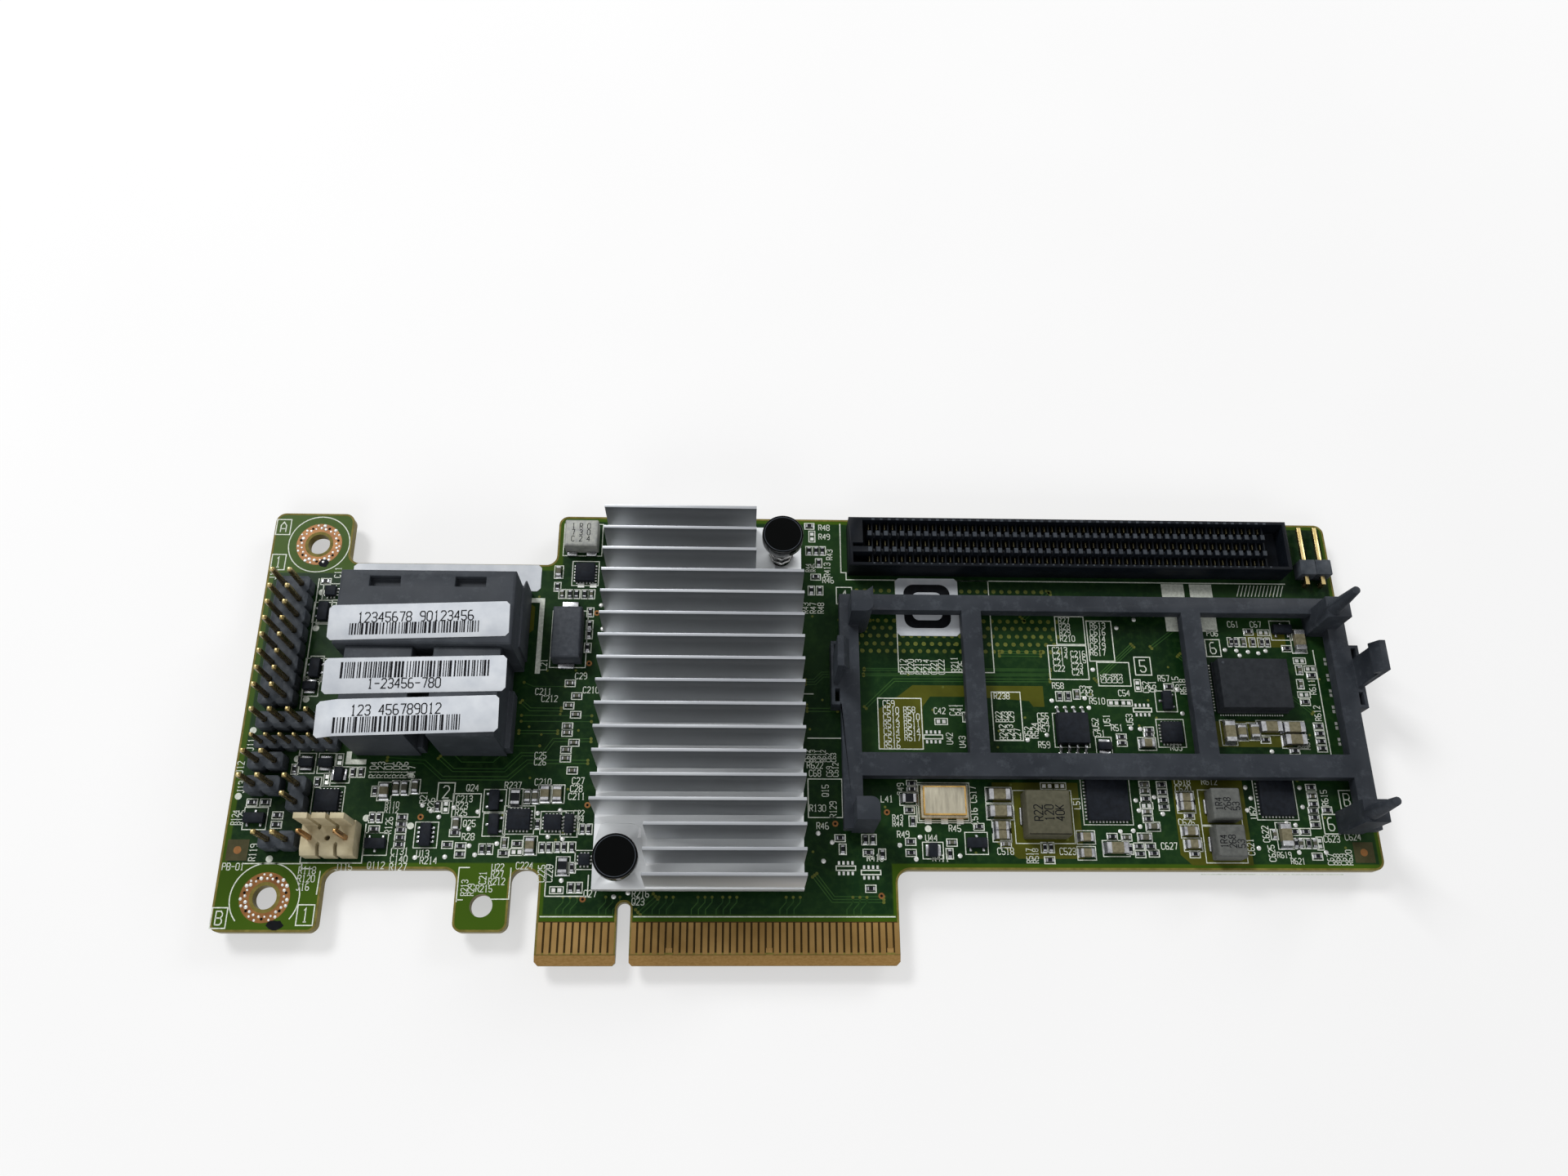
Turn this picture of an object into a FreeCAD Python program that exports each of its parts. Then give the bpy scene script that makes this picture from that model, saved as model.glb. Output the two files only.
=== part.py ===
import FreeCAD, Part
import math
import os

# Storage controller card. X runs along the card from the key notch in its edge
# contacts, Y up the card from the contact edge, Z out of the component side.
# The origin is the middle of the key notch, at the contact edge, on the
# component side. Lengths are in millimetres.

os.makedirs("parts", exist_ok=True)
Vector = FreeCAD.Vector

# Circuit board
board_thickness = 1.57
board_left = -57.1
board_end_margin = 1.1
board_top = 68.7
board_corner = 1.5
shoulder_height = 13.2
shoulder_corner = 1.9
tab_bottom = 4.5
tab_corner = 1.3
bracket_tab_width = 14.6
hole_tab_width = 7.6
tongue_left = -12.15
tongue_right = 38.9
tongue_cut = 0.5
key_notch_half = 0.95
key_notch_depth = 8.6
key_notch_end = 0.93
key_notch_cut = 0.4
bevel_height = 1.4
bevel_depth = 0.5
bracket_hole_radius = 1.65
lower_hole_inset = 7.0
lower_hole_height = 9.2
upper_hole_inset = 7.2
upper_hole_drop = 5.3
tab_hole_radius = 1.6
tab_hole_height = 8.1
cable_bay_left_room = 3.2
cable_bay_right_room = 3.7
cable_bay_depth = 8.4
cable_bay_corner = 1.6
tail_length = 1.4

# Edge contacts
contact_pitch = 1.0
contact_width = 0.7
contact_bottom = 1.5
contact_top = 5.8
contact_thickness = 0.04
short_contact_drop = 0.85
first_contact_x = 1.5
short_contacts = [6.5, 20.5, 37.5]

# Heat sink and what holds it
chip_side = 27.0
chip_base_height = 1.1
chip_cap_side = 24.0
chip_height = 2.2
pad_thickness = 0.2
pad_margin = 0.5
sink_left = -4.3
sink_length = 29.6
sink_bottom = 9.75
sink_depth = 55.45
sink_base_thickness = 1.8
fin_count = 17
fin_height = 8.5
fin_tip = 0.45
fin_root = 0.9
fin_margin = 0.685
trimmed_fins = 3
fin_trim_right = 7.0
pocket_length = 7.45
pocket_depth = 0.15
pocket_corner = 2.5
lower_pin_inset = (3.9, 3.05)
upper_pin_inset = (3.1, 5.0)
pin_head_radius = 3.05
pin_head_thickness = 1.8
pin_stem_radius = 1.35
pin_hole_radius = 1.55
barb_radius = 1.9
barb_tip_radius = 0.9
barb_length = 2.2
barb_slot = 0.7
barb_width = 1.6
spring_radius = 1.7
spring_wire = 0.45
spring_turns = 4
spring_steps = 8

# Twin cable connector
hood_corner = (-41.7, 42.6)
hood_width = 25.2
hood_length = 11.4
hood_height = 12.5
hood_edge_cut = 0.3
mouth_width = 10.4
mouth_height = 8.5
mouth_floor = 1.9
mouth_depth = 8.6
port_pitch = 12.25
hood_window_width = 4.4
hood_window_length = 1.5
hood_window_edge = 1.1
hood_window_depth = 1.2
tongue_slot_width = 8.2
tongue_slot_height = 1.2
tongue_slot_depth = 1.8
tongue_slot_heights = [4.2, 7.6]
cheek_thickness = 0.3
cheek_height = 7.0
cheek_start = 1.6
cheek_overhang = 1.5
cheek_cut = 2.0
block_height = 11.5
block_length = 13.0
block_width = 9.5
block_insets = [1.7, 14.2]
block_edge_cut = 0.6
block_foot = 0.8
block_foot_start = 0.4
block_foot_length = 8.7
block_foot_height = 3.0

# Pin headers
pin_side = 0.64
pin_point = 0.5
coarse_pitch = 2.54
coarse_pin_top = 8.5
fine_pitch = 2.0
fine_pin_side = 0.5
fine_pin_top = 6.4
header_chamfer = 0.4
wide_header_origin = (-53.3, 37.92)
wide_header_rows = 8
four_pin_header_origin = (-53.05, 34.27)
fine_header_origin = (-53.3, 31.1)
jumpers_along_x = [(-53.3, 28.2), (-53.3, 24.75), (-50.1, 16.85)]
jumpers_along_y = [(-47.03, 22.2)]
side_header_inset = 4.7
side_header_play = 0.03
side_header_pin_reach = 6.0
side_header_tail_gap = 1.0

# Cream locking header
lock_corner = (-45.3, 14.6)
lock_width = 7.4
lock_depth = 4.9
lock_floor = 3.0
lock_wall_top = 8.0
lock_wall = 0.8
lock_tooth = 1.9
lock_tooth_gap = 0.6
lock_lip_run = 0.9
lock_lip_drop = 0.5
lock_slot_width = 0.5
lock_slot_point = 0.3
lock_front_slot = 1.9
lock_back_slot = 0.6
lock_back_slot_depth = 1.5
lock_pitch = 2.5
lock_pin_top = 8.4
lock_pin_inset = 2.4
lock_recess_radius = 0.4
lock_recess_depth = 2.0

# Mezzanine socket
socket_inset = 1.7
socket_drop = 9.7
socket_end_room = 14.6
socket_height = 4.3
socket_wall = 0.5
socket_floor = 0.8
socket_bar = 0.95
socket_trough = 1.77
socket_pitch = 1.27
socket_notch = 0.55
socket_notch_depth = 0.9
socket_key_end = 2.9
socket_open_end = 3.1
socket_end_wall = 0.6
socket_key_gap = 0.7
socket_key_slot = 0.6

# Moulded module frame
frame_left = 31.1
frame_length = 78.2
frame_top = 3.5
frame_bar_thickness = 2.0
side_bar = 2.85
cross_bar = 3.0
first_cross_bar_inset = 18.75
second_cross_bar_inset = 25.4
bottom_bar_rise = 7.65
bottom_bar_width = 3.5
top_bar_gap = 4.5
top_bar_width = 2.6
lower_post_rise = 5.25
upper_post_drop = 2.5
post_width = 3.3
post_depth = 3.3
left_post_inset = 1.3
left_post_top = 9.5
right_post_inset = 5.0
right_post_width = 3.6
right_post_top = 8.8
post_corner = 1.2
nib_length = 1.0
nib_reach = 0.7
spike_top = 16.0
spike_foot_radius = 1.2
spike_tip_radius = 0.6
spike_place = (1.1, 1.4)
spike_root = 1.0
small_round_sides = 12
peg_side = 2.2
peg_clearance = 0.1
peg_length = 2.2
peg_root = 0.5
peg_tip_side = 1.3
latch_y = 42.3
latch_width = 4.6
latch_top = 12.0
latch_arm = 0.9
latch_hook = 0.9
latch_hook_height = 1.8
latch_hook_lip = 0.3
latch_root = 1.5
latch_foot_offset = 0.5
latch_foot_length = 10.0
latch_foot = 1.4
latch_foot_lift = 0.3
latch_window = 0.7
latch_window_inset = 0.5
latch_seat = 0.2

# Labels on the board and the connector
paper = 0.1
label_corner = 0.5
hood_label_size = (25.5, 5.3)
hood_label_across = {"front": 12.0, "middle": 12.0, "rear": 11.4}
hood_label_up = {"front": 3.45, "middle": -4.3, "rear": -10.3}
hood_label_tilt = {"front": 2.0, "middle": 1.5, "rear": 2.0}
label_droop = 1.0
board_label_length = 29.0
board_label_middle = 12.2
board_label_gaps = (1.8, 0.1)
area_label_corner = (40.3, 49.0)
area_label_width = 9.8
area_label_gap = 0.4

# Chip packages: length, width, height
size_0402 = (1.0, 0.5, 0.35)
size_0603 = (1.6, 0.8, 0.7)
size_0805 = (2.0, 1.25, 0.8)
size_1206 = (3.2, 1.6, 1.1)
flat_chip_height = 0.9

# Larger parts: left, right, front and back where they were read, then the height
oscillator_base = (42.6, 49.5, 20.5, 25.4, 1.0)
oscillator_lid_inset = 0.3
oscillator_lid_top = 1.6
module_base = (88.7, 99.7, 36.8, 44.9, 0.5)
module_body_inset = 0.15
module_top = 2.9
memory_body = (63.7, 68.4, 31.7, 36.4, 1.6)
memory_pitch = 1.27
memory_lead_width = 0.4
small_inductor_body = (-11.45, -6.3, 62.4, 66.9, 2.9)
long_inductor_body = (-12.3, -7.9, 43.9, 52.1, 3.5)
large_inductor_body = (57.5, 64.0, 17.6, 24.2, 3.5)
upper_inductor_body = (85.0, 89.3, 20.06, 24.7, 3.0)
lower_inductor_body = (85.0, 89.3, 14.55, 19.3, 3.0)
inductor_edge_cut = 0.25
terminal_height = 0.6
terminal_bite = 0.2
back_capacitor_size = (0.5, 1.0, 0.5)
back_capacitor_pitch = (4.2, 4.0)

# End plates of the inductors: the side, where they start and end along it, their reach
small_inductor_plates = [("front", 0.25, 1.85, 0.7), ("front", 3.25, 4.85, 0.7)]
long_inductor_plates = [("front", 0.8, 3.3, 0.8), ("back", 0.9, 3.4, 1.8)]
large_inductor_plates = [("left", 2.0, 4.6, 0.4), ("right", 2.0, 4.6, 0.4)]
inductor_pair_plates = [("left", 1.25, 3.45, 0.4), ("right", 1.25, 3.45, 0.4)]

# Marks of the card at which the places of its parts were read: along it the left
# edge, the heat sink's left side and the module frame's ends, and up it the
# contact edge, the shoulder and the top. The places move with the real marks.
read_across = (-57.1, -4.3, 31.1, 109.3)
read_up = (0.0, 13.2, 68.7)


def box(x0, x1, y0, y1, z0, z1):
    return Part.makeBox(x1 - x0, y1 - y0, z1 - z0, Vector(x0, y0, z0))


def centred_box(x, y, length, width, z0, z1):
    return box(x - length / 2, x + length / 2, y - width / 2, y + width / 2, z0, z1)


def rod(x, y, z0, z1, radius):
    return Part.makeCylinder(radius, z1 - z0, Vector(x, y, z0))


def prism_up(points, z0, z1):
    corners = [Vector(x, y, z0) for x, y in points]
    return Part.Face(Part.makePolygon(corners + corners[:1])).extrude(Vector(0, 0, z1 - z0))


def prism_along_x(points, x0, x1):
    corners = [Vector(x0, y, z) for y, z in points]
    return Part.Face(Part.makePolygon(corners + corners[:1])).extrude(Vector(x1 - x0, 0, 0))


def prism_along_y(points, y0, y1):
    corners = [Vector(x, y0, z) for x, z in points]
    return Part.Face(Part.makePolygon(corners + corners[:1])).extrude(Vector(0, y1 - y0, 0))


def many_sided(x, y, radius):
    """Corners of the regular outline that stands for a very small circle."""
    turns = [2 * math.pi * i / small_round_sides for i in range(small_round_sides)]
    return [(x + radius * math.cos(turn), y + radius * math.sin(turn)) for turn in turns]


def rounded_outline(corners):
    """Closed wire through (x, y, radius) corners, each rounded by its radius, or plain at 0."""
    edges = []
    joints = []
    count = len(corners)
    for i in range(count):
        here = Vector(corners[i][0], corners[i][1], 0)
        if corners[i][2] == 0:
            joints.append((here, here, here))
            continue
        before = Vector(corners[i - 1][0], corners[i - 1][1], 0)
        after = Vector(corners[(i + 1) % count][0], corners[(i + 1) % count][1], 0)
        back = (before - here).normalize()
        ahead = (after - here).normalize()
        half_turn = back.getAngle(ahead) / 2
        reach = corners[i][2] / math.tan(half_turn)
        bisector = (back + ahead).normalize()
        middle = here + bisector * (corners[i][2] / math.sin(half_turn) - corners[i][2])
        joints.append((here + back * reach, middle, here + ahead * reach))
    for i in range(count):
        start, middle, end = joints[i]
        if corners[i][2] > 0:
            edges.append(Part.Arc(start, middle, end).toShape())
        following = joints[(i + 1) % count][0]
        if (following - end).Length > 1e-6:
            edges.append(Part.LineSegment(end, following).toShape())
    return Part.Wire(edges)


def rounded_plate(corners, z0, z1):
    plate = Part.Face(rounded_outline(corners)).extrude(Vector(0, 0, z1 - z0))
    plate.translate(Vector(0, 0, z0))
    return plate


def cut_corner_plate(x0, x1, y0, y1, cut, z0, z1):
    outline = [(x0 + cut, y0), (x1 - cut, y0), (x1, y0 + cut), (x1, y1 - cut),
               (x1 - cut, y1), (x0 + cut, y1), (x0, y1 - cut), (x0, y0 + cut)]
    return prism_up(outline, z0, z1)


def joined(shapes):
    whole = shapes[0].fuse(shapes[1:])
    return whole.removeSplitter()


def save(name, shapes):
    shape = shapes[0] if len(shapes) == 1 else Part.makeCompound(shapes)
    shape.exportStep("parts/" + name + ".step")


# Places that follow from the sizes

board_back = -board_thickness
bay_floor = board_top - cable_bay_depth
sink_floor = chip_height + pad_thickness
sink_deck = sink_floor + sink_base_thickness
sink_right = sink_left + sink_length
sink_top = sink_bottom + sink_depth
chip_centre = (sink_left + sink_length / 2, sink_bottom + sink_depth / 2)
fin_top = sink_deck + fin_height
fin_pitch = (sink_depth - 2 * fin_margin) / (fin_count - 1)
push_pins = {
    "lower": (sink_left + lower_pin_inset[0], sink_bottom + lower_pin_inset[1]),
    "upper": (sink_right - upper_pin_inset[0], sink_top - upper_pin_inset[1]),
}
pin_head_bottom = fin_top - pin_head_thickness
frame_right = frame_left + frame_length
frame_underside = frame_top - frame_bar_thickness
board_right = frame_right + board_end_margin


def moved(value, read, real):
    """A value read between two marks, moved to the same share of the way between the real marks."""
    span = 0
    while span < len(read) - 2 and value > read[span + 1]:
        span += 1
    share = (value - read[span]) / (read[span + 1] - read[span])
    return real[span] + share * (real[span + 1] - real[span])


def across(x):
    return moved(x, read_across, (board_left, sink_left, frame_left, frame_right))


def up(y):
    return moved(y, read_up, (0, shoulder_height, board_top))


def spread(places):
    return [(across(x), up(y)) for x, y in places]


hood_left = across(hood_corner[0])
hood_back = up(hood_corner[1])
hood_right = hood_left + hood_width
hood_front = hood_back + hood_length
block_back = hood_back - block_length
block_spans = [(hood_left + inset, hood_left + inset + block_width) for inset in block_insets]
cable_bay_left = hood_left - cable_bay_left_room
cable_bay_right = hood_right + cable_bay_right_room
bracket_holes = [(board_left + lower_hole_inset, lower_hole_height),
                 (board_left + upper_hole_inset, board_top - upper_hole_drop)]
tab_hole = (across(-20.0), tab_hole_height)
lock_left = across(lock_corner[0])
lock_front = up(lock_corner[1])
lock_right = lock_left + lock_width
lock_back = lock_front + lock_depth
lock_middle = lock_left + lock_width / 2
socket_left = frame_left + socket_inset
socket_front = board_top - socket_drop
socket_depth = 2 * socket_wall + 3 * socket_trough + 2 * socket_bar
socket_back = socket_front + socket_depth
socket_positions = int((frame_length - socket_end_room) / socket_pitch)
socket_run = socket_positions * socket_pitch
socket_right = socket_left + socket_key_end + socket_run + socket_open_end
side_header_x = board_right - side_header_inset
side_header_pins = [side_header_x, side_header_x + coarse_pitch]
lower_post_front = shoulder_height + lower_post_rise
bottom_bar_front = lower_post_front + bottom_bar_rise
top_bar_back = socket_front - top_bar_gap
top_bar_front = top_bar_back - top_bar_width
upper_post_front = top_bar_front - upper_post_drop
posts = {
    "left": (frame_left + left_post_inset, post_width, left_post_top),
    "right": (frame_right - right_post_inset, right_post_width, right_post_top),
}


def header_grid(origin, columns, rows, pitch):
    return [(origin[0] + c * pitch, origin[1] + r * pitch) for c in range(columns) for r in range(rows)]


wide_header_start, four_pin_header_start, fine_header_start = spread(
    [wide_header_origin, four_pin_header_origin, fine_header_origin])
wide_header = header_grid(wide_header_start, 2, wide_header_rows, coarse_pitch)
four_pin_header = header_grid(four_pin_header_start, 4, 1, coarse_pitch)
fine_header = header_grid(fine_header_start, 6, 1, fine_pitch)
jumper_headers = [header_grid(place, 2, 1, coarse_pitch) for place in spread(jumpers_along_x)]
jumper_headers += [header_grid(place, 1, 2, coarse_pitch) for place in spread(jumpers_along_y)]
jumper_pins = [place for header in jumper_headers for place in header]
lock_pin_y = lock_front + lock_pin_inset
lock_pins = [(lock_middle - lock_pitch, lock_pin_y), (lock_middle + lock_pitch, lock_pin_y)]
side_header_tails = [(x, socket_front - side_header_tail_gap) for x in side_header_pins]


def post_boxes():
    """Footprint of the four posts: x0, x1, y0, y1 and top, keyed by side and end."""
    found = {}
    for side, (x, width, top) in posts.items():
        for end, y in (("lower", lower_post_front), ("upper", upper_post_front)):
            found[side, end] = (x, x + width, y, y + post_depth, top)
    return found


def peg_places():
    return [((x0 + x1) / 2, (y0 + y1) / 2) for x0, x1, y0, y1, top in post_boxes().values()]


# Circuit board

def square_holes(places, side):
    return [centred_box(x, y, side, side, board_back, 0) for x, y in places]


def board():
    bracket_tab_right = board_left + bracket_tab_width
    hole_tab_left = tab_hole[0] - hole_tab_width / 2
    hole_tab_right = tab_hole[0] + hole_tab_width / 2
    notch = [
        (-key_notch_half - key_notch_cut, 0, 0), (-key_notch_half, key_notch_cut, 0),
        (-key_notch_half, key_notch_depth, key_notch_end), (key_notch_half, key_notch_depth, key_notch_end),
        (key_notch_half, key_notch_cut, 0), (key_notch_half + key_notch_cut, 0, 0),
    ]
    tongue = [
        (tongue_left, shoulder_height, shoulder_corner), (tongue_left, tongue_cut, 0),
        (tongue_left + tongue_cut, 0, 0), *notch, (tongue_right - tongue_cut, 0, 0),
        (tongue_right, tongue_cut, 0), (tongue_right, shoulder_height, shoulder_corner),
    ]
    corners = [
        (board_left, tab_bottom, tab_corner), (bracket_tab_right, tab_bottom, tab_corner),
        (bracket_tab_right, shoulder_height, shoulder_corner),
        (hole_tab_left, shoulder_height, shoulder_corner),
        (hole_tab_left, tab_bottom, tab_corner), (hole_tab_right, tab_bottom, tab_corner),
        (hole_tab_right, shoulder_height, shoulder_corner), *tongue,
        (board_right, shoulder_height, board_corner), (board_right, board_top, board_corner),
        (cable_bay_right, board_top, board_corner), (cable_bay_right, bay_floor, cable_bay_corner),
        (cable_bay_left, bay_floor, cable_bay_corner), (cable_bay_left, board_top, board_corner),
        (board_left, board_top, board_corner),
    ]
    plate = rounded_plate(corners, board_back, 0)
    holes = [rod(x, y, board_back, 0, bracket_hole_radius) for x, y in bracket_holes]
    holes.append(rod(tab_hole[0], tab_hole[1], board_back, 0, tab_hole_radius))
    holes += [rod(x, y, board_back, 0, pin_hole_radius) for x, y in push_pins.values()]
    holes += square_holes(peg_places(), peg_side + 2 * peg_clearance)
    holes += square_holes(wide_header + four_pin_header + jumper_pins + side_header_tails, pin_side)
    holes += square_holes(lock_pins, pin_side)
    holes += square_holes(fine_header, fine_pin_side)
    slope = bevel_depth / bevel_height
    front_wedge = [(-bevel_height, -2 * bevel_depth), (2 * bevel_height, slope * bevel_height),
                   (-bevel_height, slope * bevel_height)]
    back_wedge = [(y, board_back - z) for y, z in front_wedge]
    bevels = [prism_along_x(w, tongue_left - 1, tongue_right + 1) for w in (front_wedge, back_wedge)]
    return plate.cut(holes + bevels)


def contact_places():
    """Middles of the contacts that fit between the key notch and each end of the tongue."""
    places = []
    for way, end in ((-1, -tongue_left), (1, tongue_right)):
        room = end - first_contact_x - contact_width / 2
        for i in range(int(room / contact_pitch) + 1):
            places.append(way * (first_contact_x + i * contact_pitch))
    return sorted(places)


def edge_contacts(z0, z1):
    strips = []
    for x in contact_places():
        short = any(abs(x - place) < contact_pitch / 2 for place in short_contacts)
        bottom = contact_bottom + (short_contact_drop if short else 0)
        strips.append(box(x - contact_width / 2, x + contact_width / 2, bottom, contact_top, z0, z1))
    return strips


# Heat sink, its chip, pad, push pins and springs

def fin_profile():
    """Cross-section of the extrusion in Y and Z: base, then tapered fins."""
    points = [(sink_bottom, sink_floor), (sink_top, sink_floor), (sink_top, sink_deck)]
    for i in range(fin_count):
        y = sink_top - fin_margin - i * fin_pitch
        points += [(y + fin_root / 2, sink_deck), (y + fin_tip / 2, fin_top)]
        points += [(y - fin_tip / 2, fin_top), (y - fin_root / 2, sink_deck)]
    return points + [(sink_bottom, sink_deck)]


def heat_sink():
    body = prism_along_x(fin_profile(), sink_left, sink_right)
    first_gap = sink_top - fin_margin - (trimmed_fins - 0.5) * fin_pitch
    last_gap = sink_bottom + (trimmed_fins - 0.5) * fin_pitch + fin_margin
    above = fin_top + 1
    trims = [
        box(sink_right - fin_trim_right, sink_right + 1, first_gap, sink_top + 1, sink_deck, above),
        box(sink_left - 1, sink_left + pocket_length, sink_bottom - 1, last_gap, sink_deck, above),
    ]
    pocket_right = sink_left + pocket_length
    pocket = [(sink_left - 1, sink_bottom - 1, 0), (pocket_right, sink_bottom - 1, 0),
              (pocket_right, last_gap, pocket_corner), (sink_left - 1, last_gap, 0)]
    trims.append(rounded_plate(pocket, sink_deck - pocket_depth, above))
    trims += [rod(x, y, sink_floor - 1, above, pin_hole_radius) for x, y in push_pins.values()]
    return body.cut(trims)


def controller_chip():
    x, y = chip_centre
    base = centred_box(x, y, chip_side, chip_side, 0, chip_base_height)
    cap = centred_box(x, y, chip_cap_side, chip_cap_side, chip_base_height, chip_height)
    return joined([base, cap])


def thermal_pad():
    side = chip_cap_side - 2 * pad_margin
    return centred_box(chip_centre[0], chip_centre[1], side, side, chip_height, sink_floor)


def push_pin(x, y):
    """Headed stem whose two barbed prongs hold behind the board."""
    profile = [
        (0, fin_top), (pin_head_radius, fin_top), (pin_head_radius, pin_head_bottom),
        (pin_stem_radius, pin_head_bottom), (pin_stem_radius, board_back), (0, board_back),
    ]
    points = [Vector(r, 0, z) for r, z in profile]
    turned = Part.Face(Part.makePolygon(points + points[:1])).revolve(Vector(0, 0, 0), Vector(0, 0, 1), 360)
    pieces = [turned]
    tip = board_back - barb_length
    for way in (-1, 1):
        outline = [(way * barb_slot / 2, board_back), (way * barb_radius, board_back),
                   (way * barb_tip_radius, tip), (way * barb_slot / 2, tip)]
        pieces.append(prism_along_y(outline, -barb_width / 2, barb_width / 2))
    pin = joined(pieces)
    pin.translate(Vector(x, y, 0))
    return pin


def spring(x, y, z0, z1):
    """Coil of square-section wire, its ends resting on z0 and z1."""
    half = spring_wire / 2
    low = z0 + half
    rise = (z1 - z0 - spring_wire) / (spring_turns * spring_steps)
    rings = []
    for i in range(spring_turns * spring_steps + 1):
        angle = 2 * math.pi * i / spring_steps
        out = Vector(math.cos(angle), math.sin(angle), 0)
        middle = Vector(x, y, low + rise * i) + out * spring_radius
        up = Vector(0, 0, half)
        rings.append([middle + out * half, middle + up, middle - out * half, middle - up])
    faces = []
    for here, there in zip(rings, rings[1:]):
        for side in range(4):
            corner = (side + 1) % 4
            faces.append(triangle(here[side], there[side], there[corner]))
            faces.append(triangle(here[side], there[corner], here[corner]))
    for ring in (rings[0], rings[-1]):
        faces.append(triangle(ring[0], ring[1], ring[2]))
        faces.append(triangle(ring[0], ring[2], ring[3]))
    solid = Part.Solid(Part.Shell(faces))
    return solid if solid.Volume > 0 else solid.reversed()


def triangle(a, b, c):
    return Part.Face(Part.makePolygon([a, b, c, a]))


# Twin cable connector

def port_centres():
    middle = hood_left + hood_width / 2
    return [middle - port_pitch / 2, middle + port_pitch / 2]


def connector_hood():
    shell = box(hood_left, hood_right, hood_back, hood_front, 0, hood_height)
    shell = shell.makeChamfer(hood_edge_cut, [e for e in shell.Edges if is_top_edge(e, hood_height)])
    cuts = []
    inner = hood_front - mouth_depth
    window_far = hood_front - hood_window_edge
    for x in port_centres():
        mouth_roof = mouth_floor + mouth_height
        cuts.append(centred_along_x(x, mouth_width, inner, hood_front + 1, mouth_floor, mouth_roof))
        cuts.append(centred_along_x(x, hood_window_width, window_far - hood_window_length, window_far,
                                    hood_height - hood_window_depth, hood_height + 1))
        for z in tongue_slot_heights:
            cuts.append(centred_along_x(x, tongue_slot_width, inner - tongue_slot_depth, inner + 1,
                                        z - tongue_slot_height / 2, z + tongue_slot_height / 2))
    shell = shell.cut(cuts)
    cheeks = [cheek(hood_left - cheek_thickness), cheek(hood_right)]
    return joined([shell] + cheeks)


def is_top_edge(edge, z):
    return all(abs(v.Z - z) < 1e-6 for v in edge.Vertexes)


def centred_along_x(x, width, y0, y1, z0, z1):
    return box(x - width / 2, x + width / 2, y0, y1, z0, z1)


def cheek(x):
    back = hood_back + cheek_start
    front = hood_front + cheek_overhang
    outline = [(back, 0), (front, 0), (front, cheek_height - cheek_cut),
               (front - cheek_cut, cheek_height), (back, cheek_height)]
    return prism_along_x(outline, x, x + cheek_thickness)


def terminal_blocks():
    blocks = []
    for x0, x1 in block_spans:
        outline = [(block_back, 0), (hood_back, 0), (hood_back, block_height),
                   (block_back + block_edge_cut, block_height), (block_back, block_height - block_edge_cut)]
        body = prism_along_x(outline, x0, x1)
        start = block_back + block_foot_start
        foot = box(x1, x1 + block_foot, start, start + block_foot_length, 0, block_foot_height)
        blocks.append(joined([body, foot]))
    return blocks


# Pin headers

def pin(x, y, top, side):
    """Square pin through the board with a tapered point."""
    half = side / 2
    near, far = side / 4, 3 * side / 4
    shaft = centred_box(x, y, side, side, board_back - tail_length, top - pin_point)
    point = Part.makeWedge(0, 0, 0, near, near, side, pin_point, side, far, far)
    point.rotate(Vector(0, 0, 0), Vector(1, 0, 0), 90)
    point.translate(Vector(x - half, y + half, top - pin_point))
    return joined([shaft, point])


def header_body(places, pitch, hole):
    """One moulded strip or block: a square with cut corners around each pin."""
    half = pitch / 2
    cut = header_chamfer
    columns = sorted({round(x, 4) for x, y in places})
    rows = sorted({round(y, 4) for x, y in places})
    left, right = columns[0] - half, columns[-1] + half
    front, back = rows[0] - half, rows[-1] + half
    outline = []
    for x in columns:
        outline += [(x - half + cut, front), (x + half - cut, front)]
        outline += [(x + half, front + cut)] if x < columns[-1] else []
    for y in rows:
        outline += [(right, y - half + cut), (right, y + half - cut)]
        outline += [(right - cut, y + half)] if y < rows[-1] else []
    for x in reversed(columns):
        outline += [(x + half - cut, back), (x - half + cut, back)]
        outline += [(x - half, back - cut)] if x > columns[0] else []
    for y in reversed(rows):
        outline += [(left, y + half - cut), (left, y - half + cut)]
        outline += [(left + cut, y - half)] if y > rows[0] else []
    body = prism_up(outline, 0, pitch)
    return body.cut([centred_box(x, y, hole, hole, 0, pitch) for x, y in places])


def header_pins(places, top, side):
    return [pin(x, y, top, side) for x, y in places]


def side_header_body():
    middle = coarse_pitch / 2
    blocks = []
    for x in side_header_pins:
        block = box(x - middle + side_header_play, x + middle - side_header_play, socket_front,
                    socket_front + coarse_pitch, 0, coarse_pitch)
        hole = box(x - pin_side / 2, x + pin_side / 2, socket_front, socket_front + coarse_pitch,
                   middle - pin_side / 2, middle + pin_side / 2)
        blocks.append(block.cut(hole))
    return blocks


def side_header_pin(x):
    half = pin_side / 2
    middle = coarse_pitch / 2
    tail_y = socket_front - side_header_tail_gap
    tip = socket_front + coarse_pitch + side_header_pin_reach
    level = box(x - half, x + half, tail_y - half, tip, middle - half, middle + half)
    tail = centred_box(x, tail_y, pin_side, pin_side, board_back - tail_length, middle + half)
    return joined([level, tail])


# Cream locking header

def pointed_slot(x, y, way, length, z0, z1):
    """Upright slot from y, ending in a point that far along Y, forwards or backwards."""
    half = lock_slot_width / 2
    shoulder = y + way * (length - lock_slot_point)
    start = y - way * lock_depth
    outline = [(x - half, start), (x + half, start), (x + half, shoulder),
               (x, y + way * length), (x - half, shoulder)]
    return prism_up(outline, z0, z1)


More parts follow.
